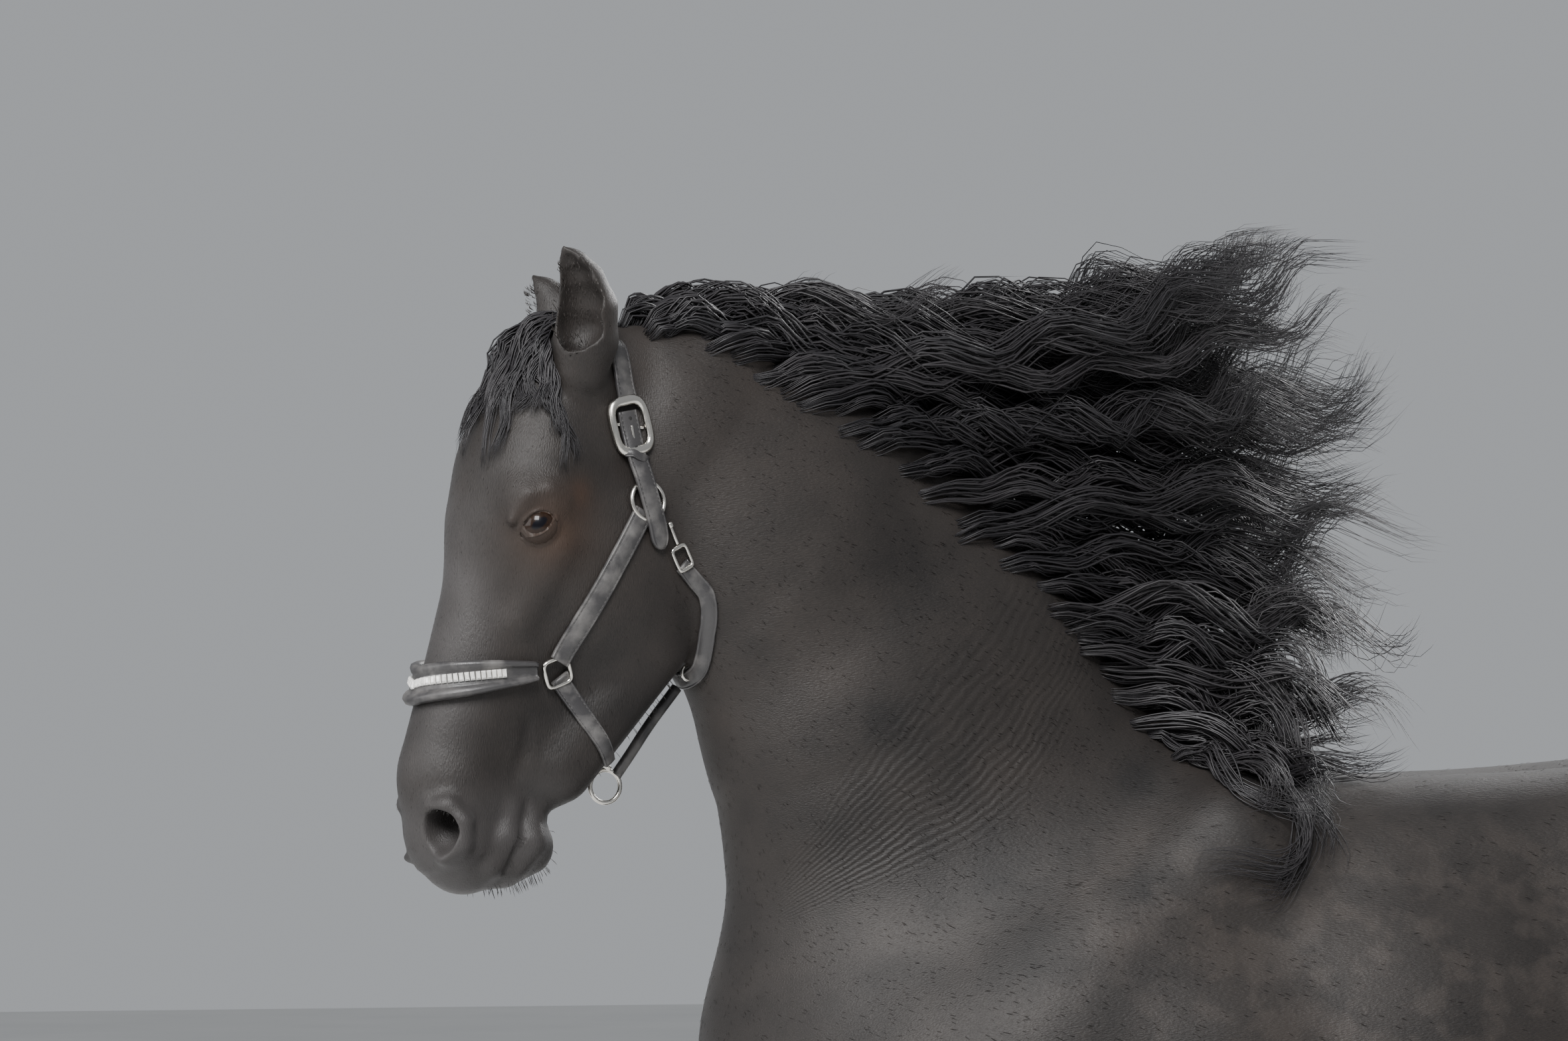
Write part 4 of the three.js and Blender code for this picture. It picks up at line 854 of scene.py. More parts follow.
def shared_out(name, count, routes, widths, shades, finish, node):
    """Strands dealt out to several pieces, the first of which takes the node's place."""
    for part in range(count):
        mine = np.arange(len(routes)) % count == part
        piece = strands(f"{name}_{part + 1}", routes[mine], widths[mine], shades[mine], finish)
        if part == 0:
            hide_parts(node)


# Routes of the mane: root, two handles and tip of nine guides from the poll to the withers, as (x, y, z)
MANE_GUIDES = np.array([
    [(-229, -30, 2122), (-184, -20, 2140), (-66, -20, 2142), (188, -10, 2118)],
    [(-164, -40, 2096), (-49, -25, 2124), (237, -20, 2116), (638, 0, 2150)],
    [(-74, -46, 2052), (73, -30, 2090), (400, -20, 2076), (695, 0, 2216)],
    [(16, -56, 1988), (155, -40, 2022), (441, -20, 2040), (732, 0, 2092)],
    [(98, -64, 1926), (237, -50, 1956), (482, -25, 1980), (747, 0, 1990)],
    [(196, -76, 1846), (319, -66, 1870), (523, -45, 1890), (717, -10, 1874)],
    [(286, -86, 1776), (400, -84, 1780), (555, -64, 1790), (706, -30, 1770)],
    [(366, -100, 1690), (452, -106, 1688), (560, -104, 1660), (650, -90, 1612)],
    [(450, -122, 1600), (484, -150, 1580), (520, -186, 1552), (560, -206, 1506)],
], float)
# For a guide's root, handles and tip: how much of the crest's depth it rises, and how far it strays
MANE_SPREAD = ((1.0, 0), (0.4, 12), (0.1, 26), (0.0, 44))
CREST_DEPTH = 64.0
CREST_WIDTH = 60.0
MANE_TOP = 2225.0
MANE_STEPS = 30


def mane_clumps(rng, count, steps):
    """Guide curves of the mane's locks, rooted over the crest from its near flank to its far one."""
    s = (np.arange(count) + rng.uniform(0, 1, count)) / count
    k = s * (len(MANE_GUIDES) - 1)
    low = np.minimum(k.astype(int), len(MANE_GUIDES) - 2)
    share = (k - low)[:, None, None]
    guide = MANE_GUIDES[low] * (1 - share) + MANE_GUIDES[low + 1] * share
    high = rng.uniform(0, 1.3, count)
    tangent = (MANE_GUIDES[low + 1][:, 0] - MANE_GUIDES[low][:, 0])[:, (0, 2)]
    tangent /= np.linalg.norm(tangent, axis=1, keepdims=True)
    out = np.stack((-tangent[:, 1], np.zeros(count), tangent[:, 0]), 1)
    up = np.minimum(high, 1)[:, None] * CREST_DEPTH
    across = np.stack((np.zeros(count), high * CREST_WIDTH, np.zeros(count)), 1)
    ends = []
    for j, (rise, loose) in enumerate(MANE_SPREAD):
        ends.append(guide[:, j] + out * up * rise + across + rng.normal(0, 1, (count, 3)) * loose)
    ends[3][:, 0] -= np.abs(rng.normal(0, 70, count))
    ends[0] = settle(ends[0], -3.0, whole=False)
    return bezier(*ends, steps)


def make_mane(count, each, finish):
    """The long, waving mane, blown back over the withers."""
    rng = np.random.default_rng(7)
    guides = clear_of_skin(mane_clumps(rng, count, MANE_STEPS), 10)
    routes = clear_of_skin(fanned(rng, guides, each, MANE_LOCK), 2.5)
    routes[:, 0] = settle(routes[:, 0], -4.0, rounds=3, most=30.0, whole=False)
    routes[:, 1] = (routes[:, 0] + 2 * routes[:, 1] + routes[:, 2]) / 4
    routes[:, :, 2] -= 0.7 * np.maximum(0, routes[:, :, 2] - MANE_TOP)
    widths = rng.uniform(2.0, 3.5, len(routes))
    shades = np.repeat(rng.uniform(0, 1, count), each) * 0.6 + rng.uniform(0, 0.4, len(routes))
    shared_out("mane", 4, routes, widths, shades, finish, "neck")


FORELOCK_STEPS = 22
FORELOCK_LAID = 9


def make_forelock(count, each, finish):
    """The forelock, from between the ears down over the forehead."""
    rng = np.random.default_rng(23)
    s = np.linspace(-1, 1, count) + rng.normal(0, 0.05, count)
    lean = rng.uniform(0.75, 1.1, count)
    root = np.stack((np.full(count, POLL_X - 20) - 20 * np.abs(s), s * 26, 2128 - 6 * np.abs(s)), 1)
    root = settle(root, -2, whole=False)
    first = root + np.stack((-34 * lean, s * 18, 20 * np.ones(count)), 1)
    second = np.stack((POLL_X - 84 - 6 * np.cos(s), s * 54, np.full(count, 2062.0)), 1)
    second = second + rng.normal(0, 7, (count, 3))
    tip = np.stack((POLL_X - 112 + 44 * s * s, s * 50 - 18, 2008 + rng.uniform(-52, 30, count)), 1)
    tip = settle(tip, 3, whole=False)
    guides = clear_of_skin(bezier(root, first, second, tip, FORELOCK_STEPS), 4)
    routes = fanned(rng, guides, each, FORELOCK_LOCK)
    ends = routes[:, -FORELOCK_LAID:]
    laid = settle(ends.reshape(-1, 3), 4, rounds=1, whole=False).reshape(ends.shape)
    routes[:, -FORELOCK_LAID:] = laid * 0.6 + ends * 0.4
    routes = clear_of_skin(routes, 2.0)
    widths = rng.uniform(2.0, 3.4, len(routes))
    strands("forelock", routes, widths, rng.uniform(0, 1, len(routes)), finish)


TAIL_STEPS = 26
TAIL_TIP = (1840.0, 150.0)


def along_dock(s):
    """The place on the dock's middle line at a share of its length."""
    line = np.array(DOCK_LINE, float)[:, :3]
    k = s * (len(line) - 1)
    low = np.minimum(k.astype(int), len(line) - 2)
    return line[low] + (line[low + 1] - line[low]) * (k - low)[:, None]


def make_tail(count, each, finish):
    """The tail, rooted along and round the dock and hanging nearly to the fetlocks."""
    rng = np.random.default_rng(41)
    s = rng.uniform(0.1, 1.0, count)
    turn = rng.uniform(-2.2, 2.2, count) * (0.6 + 0.4 * s)
    centre = along_dock(s)
    ahead = unit(along_dock(np.minimum(s + 0.1, 1)) - along_dock(np.minimum(s, 0.9)))
    back = np.stack((-ahead[:, 2], np.zeros(count), ahead[:, 0]), 1)
    out = back * np.cos(turn)[:, None] + np.stack((0 * s, np.sin(turn), 0 * s), 1)
    root = settle(centre + out * 30, -3, whole=False)
    first = root + ahead * 90 + out * 34
    length = rng.uniform(0.66, 1, count) ** 0.7
    tip_x = TAIL_TIP[0] + out[:, 0] * 90 + rng.normal(0, 26, count)
    tip_y = out[:, 1] * 96 + rng.normal(0, 20, count)
    tip = np.stack((tip_x, tip_y, centre[:, 2] + (TAIL_TIP[1] - centre[:, 2]) * length), 1)
    second = tip + np.stack((-6 + out[:, 0] * 40, out[:, 1] * 30, np.full(count, 480.0)), 1)
    guides = clear_of_skin(bezier(root, first, second, tip, TAIL_STEPS), 14, 3)
    routes = clear_of_skin(fanned(rng, guides, each, TAIL_LOCK), 3, 3)
    widths = rng.uniform(3.2, 5.6, len(routes))
    shared_out("tail", 2, routes, widths, rng.uniform(0, 1, len(routes)), finish, "tail")


# Legs by name: the cannon's middle, the hoof's middle and the distance from the middle plane
FEATHERS = (("foreleg", 285.0, 243.0, FORE_Y), ("hindleg", 1537.0, 1488.0, HIND_Y))
FEATHER_STEPS = 13
FETLOCK_Z = 172.0
FEATHER_RISE = 300.0


def feather_routes(rng, count, each, back_x, hoof_x, y):
    """Strands of one leg's feather, longest and highest behind the cannon, out over the hoof."""
    turn = np.linspace(-2.9, 2.9, count) + rng.normal(0, 0.07, count)
    out = np.stack((np.cos(turn), np.sin(turn), np.zeros(count)), 1)
    behind = np.maximum(0, np.cos(turn))
    root_z = FETLOCK_Z + behind * rng.uniform(10, FEATHER_RISE, count) + rng.uniform(-10, 10, count)
    root_x = np.where(root_z > 200, back_x, hoof_x + 16 + (root_z - 130) * 0.35)
    root = np.stack((root_x, np.full(count, y), root_z), 1) + out * 30
    root = settle(root, -2, whole=False)
    first = root + out * (10 + 10 * behind)[:, None] + (0, 0, -36)
    tip_z = rng.uniform(10, 40, count) + 16 * (1 - behind)
    tip_z = np.maximum(tip_z, root[:, 2] - rng.uniform(150, 240, count))
    above = smooth(tip_z, 40, 170)
    tip_out = (84 + 34 * behind) * rng.uniform(0.62, 1.06, count) * (1 - above) + 54 * above
    tip_x = hoof_x * (1 - above) + root_x * above
    tip = np.stack((tip_x, np.full(count, y), tip_z), 1) + out * tip_out[:, None]
    second = tip + out * 4 + np.stack((0 * above, 0 * above, 0.4 * (root[:, 2] - tip_z)), 1)
    guides = clear_of_skin(bezier(root, first, second, tip, FEATHER_STEPS), 4)
    routes = fanned(rng, guides, each, FEATHER_LOCK)
    routes[:, :, 2] = np.maximum(routes[:, :, 2], 4.0)
    return routes


def make_feather(count, each, finish):
    """The feather of the four legs."""
    rng = np.random.default_rng(60)
    for name, back_x, hoof_x, leg_y in FEATHERS:
        for label, side in SIDES:
            routes = feather_routes(rng, count, each, back_x, hoof_x, side * leg_y)
            widths = rng.uniform(2.2, 3.8, len(routes))
            strands(f"feather_{name}_{label}", routes, widths, rng.uniform(0, 1, len(routes)), finish)


# Short coat: tufts that lie along the body and lift a little at their tips

# Piece, share of the tufts, their length and width, and a test of the straight points where it grows
COAT_AREAS = (
    ("coat_trunk", 0.28, 13.0, 0.9, lambda p: (p[:, 2] > 850) & (p[:, 0] > 60)),
    ("coat_neck", 0.25, 10.0, 0.8, lambda p: (p[:, 2] > 1180) & (p[:, 0] <= 420) & (p[:, 0] > POLL_X + 60)),
    ("coat_head", 0.28, 5.5, 0.6, lambda p: (p[:, 0] <= POLL_X + 110) & (p[:, 2] > 1500) & ~near_eye(p, 30)),
    ("coat_legs", 0.19, 10.0, 0.9, lambda p: (p[:, 2] <= 870) & (p[:, 2] > 110)),
)
LIE_OF_TRUNK = np.array((1.0, 0.0, -0.55))
LIE_OF_LEGS = np.array((0.2, 0.0, -1.0))
LIE_OF_FACE = np.array((-0.25, 0.0, -1.0))
TUFT_LIFT = 0.1
TUFT_SINK = 0.4


def flow_at(points):
    """The lie of the coat: back along the trunk, down the legs, and down the face."""
    x, _, z = points.T
    leg = leg_share(z)[:, None]
    head = head_share(x, z)[:, None]
    return (LIE_OF_TRUNK * (1 - leg) + LIE_OF_LEGS * leg) * (1 - head) + LIE_OF_FACE * head


def tufts(name, roots, lengths, widths, finish, rng):
    """Short strands from skin points along the lie of the coat."""
    n = outward_at(roots)
    flow = flow_at(roots) + rng.normal(0, 0.16, roots.shape)
    flow = unit(flow - n * (flow * n).sum(1)[:, None])
    start = roots - n * (COAT_DEPTH + TUFT_SINK)
    t = np.array((0.0, 0.5, 1.0))
    lifted = TUFT_LIFT * lengths
    rise = np.stack((0 * lengths, lifted * 0.75 + COAT_DEPTH, lifted + COAT_DEPTH), 1)
    routes = start[:, None, :] + flow[:, None, :] * (lengths[:, None] * t)[..., None]
    routes = routes + n[:, None, :] * rise[..., None]
    strands(name, routes, widths, rng.uniform(0.2, 1, len(roots)), finish, 0.5, n, "coat")


def skin_triangles(skin):
    """The three straight corners of every triangle of the skin."""
    skin.data.calc_loop_triangles()
    corners = np.empty(len(skin.data.loop_triangles) * 3, np.int32)
    skin.data.loop_triangles.foreach_get("vertices", corners)
    straight = np.empty(len(skin.data.vertices) * 3, np.float32)
    skin.data.attributes["straight"].data.foreach_get("vector", straight)
    straight = straight.reshape(-1, 3).astype(float)
    return [straight[corners.reshape(-1, 3)[:, k]] for k in range(3)]


def make_short_coat(total, finish):
    """Tufts over the whole hide, spread evenly over each of its areas."""
    rng = np.random.default_rng(91)
    a, b, c = skin_triangles(bpy.data.objects["skin"])
    area = np.linalg.norm(np.cross(b - a, c - a), axis=1)
    middle = (a + b + c) / 3
    for name, share, length, width, grows in COAT_AREAS:
        count = int(total * share)
        mine = np.flatnonzero(grows(middle))
        pick = mine[rng.choice(len(mine), count, p=area[mine] / area[mine].sum())]
        u, v = rng.uniform(0, 1, count), rng.uniform(0, 1, count)
        flip = u + v > 1
        u[flip], v[flip] = 1 - u[flip], 1 - v[flip]
        roots = a[pick] + (b[pick] - a[pick]) * u[:, None] + (c[pick] - a[pick]) * v[:, None]
        lengths = length * rng.uniform(0.7, 1.3, count)
        tufts(name, roots, lengths, width * rng.uniform(0.8, 1.2, count), finish, rng)


EAR_HAIRS = 70
EAR_HAIR_LENGTH = 7.0
EAR_HAIR_LIE = np.array((-0.25, 0.3, 0.9))
# Whiskers and beard under the chin and jaw: place with x from the poll, and number on each side
WHISKERS = [(-100, 10, 1520, 12), (-120, 16, 1508, 14), (-80, 8, 1530, 12), (20, 26, 1700, 20),
            (50, 30, 1735, 20), (-20, 20, 1650, 20)]
WHISKER_LIE = np.array((0.2, 0.0, -0.7))


def ear_hairs(rng, cup):
    """Hairs in one length of an ear's cup, pointing up and out."""
    start, end, start_radius, end_radius = cup[:4]
    t = rng.uniform(0, 1, EAR_HAIRS)
    turn = rng.uniform(0, 2 * math.pi, EAR_HAIRS)
    around = np.stack((np.cos(turn), np.sin(turn), 0 * turn), 1)
    radius = (start_radius + (end_radius - start_radius) * t) * 0.75
    root = start + (end - start) * t[:, None] + around * radius[:, None]
    root = settle(root, -COAT_DEPTH, rounds=2, most=6)
    n = outward_at(root)
    reach = EAR_HAIR_LENGTH * rng.uniform(0.7, 1.4, (EAR_HAIRS, 1))
    tip = root + n * EAR_HAIR_LENGTH * 0.4 + EAR_HAIR_LIE * reach
    return np.stack((root, (root + tip) / 2 + n * EAR_HAIR_LENGTH * 0.25, tip), 1)


def whiskers(rng, x, y, z, count):
    """Whiskers round a place under the head."""
    across = x + POLL_X + rng.normal(0, 14, count)
    root = np.stack((across, y + rng.normal(0, 8, count), z + rng.normal(0, 12, count)), 1)
    root = settle(root, -COAT_DEPTH, rounds=3, most=20)
    n = outward_at(root)
    length = rng.uniform(4, 9, (count, 1))
    tip = root + n * length + WHISKER_LIE * length
    return np.stack((root, (root + tip) / 2 + n * 1.5, tip), 1)


def make_fringes(finish):
    """The longer hairs of the ears' cups and under the chin and jaw."""
    rng = np.random.default_rng(17)
    routes = []
    for _, side in SIDES:
        found = [ear_hairs(rng, cup) for cup in EAR_CUPS[:-1]]
        found += [whiskers(rng, *place) for place in WHISKERS]
        routes += [route * (1, side, 1) for route in found]
    routes = np.concatenate(routes)
    widths = rng.uniform(0.7, 1.2, len(routes))
    strands("fringes", routes, widths, rng.uniform(0, 1, len(routes)), finish, 0.6, None, "coat")


# Halter: straps laid on the head, with x counted from the poll

FACE_MASSES = SKULL + LIPS + LID_FOLD + NECK[1:] + CREST
# Half of a section from its middle to its edge, in half widths and thicknesses, then its back corner
STRAP_EDGE = [(0.66, 1.0), (0.74, 0.84), (0.8, 0.98), (0.9, 0.96), (0.98, 0.7), (1, 0.2), (0.93, 0)]
NOSEBAND_EDGE = [(0.36, 0.6), (0.42, 0.62), (0.52, 0.84), (0.7, 1.0), (0.86, 0.98), (0.98, 0.7), (1, 0.3),
                 (0.9, 0)]


def both_edges(edge, middle=()):
    """A whole section from its half: the left edge, the middle and the right edge."""
    left = [(-a, h) for a, h in edge[-2::-1]]
    return left + list(middle) + edge + [(-edge[-1][0], edge[-1][1])]


STRAP_SECTION = both_edges(STRAP_EDGE, [(0, 1.1)])
NOSEBAND_SECTION = both_edges(NOSEBAND_EDGE)
ROLL_TURNS = np.linspace(0, 2 * math.pi, 15, endpoint=False)
ROLL_SECTION = list(zip(np.cos(ROLL_TURNS), 0.5 + 0.5 * np.sin(ROLL_TURNS)))
# Places on the side of the head: x from the poll, z and the lift over the hide
CROWN_PATH = [(12, 2038, 3), (8, 2058, 1), (6, 2080, 1), (5, 2098, 1)]
CROWN_FAR_PATH = [(5, 2098, 1), (6, 2080, 1), (8, 2058, 1), (12, 2034, 1)]
CROWN_TOP = (4, 2120, (-42, -21, 0, 21, 42))
BILLET_PATH = [(9, 2030, 2), (13, 2006, 3), (16, 1982, 7), (22, 1958, 11.5), (29, 1930, 12.5), (36, 1906, 11),
               (43, 1880, 4)]
BILLET_FAR_PATH = [(12, 2030, 2), (11, 2000, 2), (20, 1965, 2), (24, 1950, 2)]
CHEEK_PATH = [(22, 1921, 3), (12, 1904, 1), (-10, 1868, 0), (-36, 1822, 0), (-62, 1772, 1), (-70, 1758, 4)]
CHIN_PATH = [(-69, 1742, 5), (-60, 1730, 1), (-38, 1700, 0), (-16, 1668, 0), (-4, 1648, 1)]
CHIN_WIDTHS = (23, 16)
KEEPER_PATH = [(2, 1984, 6), (9, 1983, 12), (16, 1980, 13), (25, 1978, 12), (31, 1976, 6)]
# Half of the throat strap, as x from the poll, y and z, and the rolled strap under the jaw, as x and z
THROAT_PATH = [(72, 96, 1862), (86, 96, 1842), (98, 92, 1822), (106, 76, 1788), (108, 50, 1752),
               (108, 0, 1736)]
JAW_PATH = [(24, 1631), (42, 1655), (66, 1688), (98, 1727)]
JAW_FACING = np.array((0.7, 0.0, -0.7))
JAW_ROLL = 12.5
NOSE_AXIS_X = -135.0
NOSEBAND_THICKNESS = 12.0


def side_point(x, z, side, lift):
    """A straight point over the side of the head."""
    y = on_side(x + POLL_X, z, FACE_MASSES)
    point = np.array([[x + POLL_X, side * y, z]])
    return settle(point, lift, rounds=3, most=4.0, whole=False)[0]


def side_points(places, side):
    return [side_point(x, z, side, lift) for x, z, lift in places]


def through(points, each=8):
    """A smooth run of points through the given ones."""
    p = np.array(points, float)
    p = np.concatenate((2 * p[:1] - p[1:2], p, 2 * p[-1:] - p[-2:-1]))
    t = np.linspace(0, 1, each, endpoint=False)[:, None]
    runs = []
    for a, b, c, d in zip(p, p[1:], p[2:], p[3:]):
        curve = 2 * b + (c - a) * t + (2 * a - 5 * b + 4 * c - d) * t * t + (3 * b - a - 3 * c + d) * t ** 3
        runs.append(0.5 * curve)
    return np.concatenate((*runs, p[-2:-1]))


def band(name, path, normals, widths, thickness, section, finish, *replaced):
    """A closed strip along a path, with a section given in half widths and thicknesses."""
    along = unit(np.gradient(path, axis=0))
    across = unit(np.cross(along, normals))
    out = np.cross(across, along)
    widths = np.broadcast_to(widths, len(path))
    rings = [path + across * (a * widths / 2)[:, None] + out * (h * thickness) for a, h in section]
    middles = (path[:1] + out[:1] * thickness / 2, path[-1:] + out[-1:] * thickness / 2)
    verts = np.concatenate((np.stack(rings, 1).reshape(-1, 3), *middles))
    faces = wall(len(path), len(section)) + caps(len(path), len(section))
    piece = new_mesh(name, to_frame(verts), faces)
    face_outward(piece)
    return finished(piece, finish, "leather", *replaced)


def rounded_end(count, width, run=6):
    """Widths along a strap, narrowing to a rounded end."""
    widths = np.full(count, width)
    widths[-run:] = width * np.sqrt(1 - np.linspace(0, 0.97, run) ** 2)
    return widths


def at_length(places, where, values):
    """Values given along a path, read at one place by its length."""
    return np.array([np.interp(places, where, values[:, k]) for k in range(3)])


def lengths_along(path):
    return np.concatenate(([0], np.cumsum(np.linalg.norm(np.diff(path, axis=0), axis=1))))


STITCH_PITCH = 5.0
STITCH_HALF = 1.6
STITCH_WIDTH = 0.455
STITCH_HEIGHT = 0.5
STITCH_LINE = 0.74
STITCH_FACES = wall(2, 4) + [(0, 2, 1), (0, 3, 2), (4, 5, 6), (4, 6, 7)]


def stitches(name, runs, finish):
    """Thread stitches, short bars along both edges of the given strap runs."""
    verts, faces = [], []
    for path, normals, width, height in runs:
        where = lengths_along(path)
        for s in np.arange(STITCH_PITCH, where[-1] - 4, STITCH_PITCH):
            ends = [at_length(s + half, where, path) for half in (-STITCH_HALF, STITCH_HALF)]
            n = unit(at_length(s, where, normals))
            across = np.cross(unit(ends[1] - ends[0]), n)
            for edge in (-1, 1):
                faces += [tuple(len(verts) + corner for corner in face) for face in STITCH_FACES]
                for end in ends:
                    centre = end + across * edge * (width / 2 * STITCH_LINE) + n * height
                    wide, tall = across * STITCH_WIDTH, n * STITCH_HEIGHT
                    verts += [centre + wide, centre + tall, centre - wide, centre - tall]
    piece = new_mesh(name, to_frame(np.array(verts)), faces)
    face_outward(piece)
    finished(piece, finish, "leather")


def strap(node, path, widths, thick, finish):
    """A flat strap in place of the node of that name, and what its stitches need."""
    normals = outward_at(path)
    band(f"{node}_strap", path, normals, widths, thick, STRAP_SECTION, finish, node)
    return path, normals, float(np.mean(widths)), thick * 0.9


def make_straps(wide, thick, finish, thread):
    """The flat straps, the rolled one under the jaw, the noseband, a keeper and the stitching."""
    runs = []
    for label, side in SIDES:
        path = through(side_points(CHEEK_PATH, side))
        runs.append(strap(f"halter_cheek_{label}", path, np.full(len(path), wide), thick, finish))
        path = through(side_points(CHIN_PATH, side))
        runs.append(strap(f"halter_chin_{label}", path, np.linspace(*CHIN_WIDTHS, len(path)), thick, finish))
    path = through(side_points(BILLET_PATH, -1))
    widths = rounded_end(len(path), wide)
    _, normals, _, height = strap("halter_billet_left", path, widths, thick, finish)
    runs.append((path[:-8], normals[:-8], wide, height))
    strap("halter_billet_right", through(side_points(BILLET_FAR_PATH, 1)), wide, thick, finish)
    top_x, top_z, top_ys = CROWN_TOP
    over = [settle(np.array([[POLL_X + top_x, y, top_z]]), 1.0, rounds=5, whole=False)[0] for y in top_ys]
    path = through(side_points(CROWN_PATH, -1) + over + side_points(CROWN_FAR_PATH, 1), 6)
    runs.append(strap("halter_crown", path, wide, thick, finish))
    half = [(x, -y, z) for x, y, z in THROAT_PATH] + THROAT_PATH[-2::-1]
    path = settle(through([(x + POLL_X, y, z) for x, y, z in half], 6), 0.3, rounds=4, whole=False)
    strap("halter_throat", path, wide - 5, thick, finish)
    path = through([(x + POLL_X, 0, z) for x, z in JAW_PATH], 8)
    facing = np.tile(JAW_FACING, (len(path), 1))
    band("halter_jaw_roll", path - facing * 6, facing, JAW_ROLL, JAW_ROLL, ROLL_SECTION, finish, "halter_jaw")
    path, widths = nose_path(2.3, 72, 1727, 1748)
    shape = (NOSEBAND_THICKNESS, NOSEBAND_SECTION)
    band("halter_noseband", path, outward_at(path), widths, *shape, finish, "halter_nose")
    keeper = through(side_points(KEEPER_PATH, -1), 5)
    band("halter_keeper", keeper, outward_at(keeper), 9.0, 2.4, STRAP_SECTION, finish)
    stitches("halter_stitching", runs, thread)


def nose_path(span, steps, front_z, side_z):
    """A path round the nose, from side to side over its bridge, and the noseband's widths along it."""
    turn = math.pi + np.linspace(-span, span, steps)
    share = np.abs(np.linspace(-1, 1, steps))
    z = front_z + (side_z - front_z) * np.sqrt(share)
    points = np.stack((POLL_X + NOSE_AXIS_X + np.cos(turn) * 55, np.sin(turn) * 55, z), 1)
    for _ in range(4):
        points = settle(points, 0.2, rounds=2, whole=False)
        points[:, 2] = z
    return points, 44 - 23 * share ** 1.5


STONE_HALF = (2.5, 4.7)
STONE_SEAT = 6.6
STONE_RISE = 4.4
# A stone's levels: share of its rise and of its size
STONE_LEVELS = ((0.0, 1.0), (0.55, 1.0), (1.0, 0.62))
STONE_CORNERS = ((-1, -1), (1, -1), (1, 1), (-1, 1))
STONE_FACES = wall(3, 4) + [(0, 2, 1), (0, 3, 2), (8, 9, 10), (8, 10, 11)]


def make_stones(pitch, finish):
    """A row of small square-cut stones along the middle of the noseband."""
    path, _ = nose_path(1.62, 220, 1729, 1746)
    where = lengths_along(path)
    normals = outward_at(path)
    verts, faces = [], []
    for s in np.arange(4.0, where[-1] - 3, pitch):
        point = at_length(s, where, path)
        n = at_length(s, where, normals)
        ahead = unit(at_length(s + 1, where, path) - point)
        across = np.cross(ahead, n)
        faces += [tuple(len(verts) + corner for corner in face) for face in STONE_FACES]
        for height, size in STONE_LEVELS:
            for a, b in STONE_CORNERS:
                flat = ahead * a * STONE_HALF[0] * size + across * b * STONE_HALF[1] * size
                verts.append(point + flat + n * (STONE_SEAT + height * STONE_RISE))
    piece = new_mesh("halter_stones", to_frame(np.array(verts)), faces)
    face_outward(piece)
    shade_smooth(piece, False)
    finished(piece, finish, "beads", "halter_beads")


def wire(name, centre, normal, down, radius, thickness, stretch, power, finish, *replaced):
    """A closed wire ring, from a torus turned to lie on the head; a higher power squares its corners."""
    bpy.ops.object.select_all(action="DESELECT")
    bpy.ops.mesh.primitive_torus_add(
        major_radius=radius * MM, minor_radius=thickness * MM, major_segments=56, minor_segments=14
    )
    piece = bpy.context.object
    piece.name = name
    p = coords(piece) / MM
    angle = np.arctan2(p[:, 1], p[:, 0])
    rim = (np.abs(np.cos(angle)) ** power + np.abs(np.sin(angle)) ** power) ** (-1 / power)
    away = radius * rim + np.hypot(p[:, 0], p[:, 1]) - radius
    local = np.stack((np.cos(angle) * away * stretch, np.sin(angle) * away, p[:, 2]), 1)
    n = unit(normal)
    d = unit(down - n * (down @ n))
    set_coords(piece, to_frame(centre + local @ np.stack((d, np.cross(n, d), n))))
    face_outward(piece)
    shade_smooth(piece)
    return finished(piece, finish, "nickel", *replaced)


def rod(name, start, end, radius, finish, slot="nickel", *replaced):
    """A straight rod with rounded ends between two straight points."""
    start, end = to_frame(np.array([start, end]))
    bpy.ops.object.select_all(action="DESELECT")
    axis = Vector(end - start)
    bpy.ops.mesh.primitive_cylinder_add(
        vertices=20, radius=radius * MM, depth=axis.length, location=Vector((start + end) / 2),
        rotation=axis.to_track_quat("Z", "Y").to_euler(),
    )
    piece = bpy.context.object
    piece.name = name
    bpy.ops.object.transform_apply(location=True, rotation=True, scale=True)
    bevel = piece.modifiers.new("rounded", "BEVEL")
    bevel.width = radius * 0.45 * MM
    bevel.segments = 3
    bpy.ops.object.modifier_apply(modifier=bevel.name)
    shade_smooth(piece)
    return finished(piece, finish, slot, *replaced)


DOWN = np.array((0.0, 0.0, -1.0))
BUCKLE_DOWN = np.array((0.2, 0.0, -0.98))
SQUARE_DOWN = np.array((0.35, 0.0, -0.94))
SNAP_DOWN = np.array((0.45, 0.0, -0.9))
# Holes of the billet: x from the poll, z and the lift of the strap's back
STRAP_HOLES = ((27, 1938, 12.6), (15.5, 1990, 6.5), (11.5, 2022, 3.2), (13.5, 2003, 3.6))
CHIN_RING_AT = np.array((POLL_X + 12.0, 0.0, 1620.0))
THROAT_RING_AT = np.array((POLL_X + 103.0, -20.0, 1744.0))


def on_head(x, z, side, lift):
    """A place over the side of the head and the direction straight out of it."""
    at = side_point(x, z, side, lift)
    return at, outward_at(at[None])[0]


def make_holes(thick, dark):
    """The billet's punched holes, as dark plugs of painted shadow, and its rivet."""
    for k, (x, z, lift) in enumerate(STRAP_HOLES):
        hole, n = on_head(x, z, -1, lift + thick)
        rod(f"strap_hole_shadow_{k + 1}", hole - n * 0.6, hole + n * 0.35, 2.0, dark, "leather")
    rivet, n = on_head(41, 1888, -1, 5.5 + thick)
    rod("strap_rivet", rivet - n * 0.6, rivet + n * 0.9, 2.3, dark, "leather")


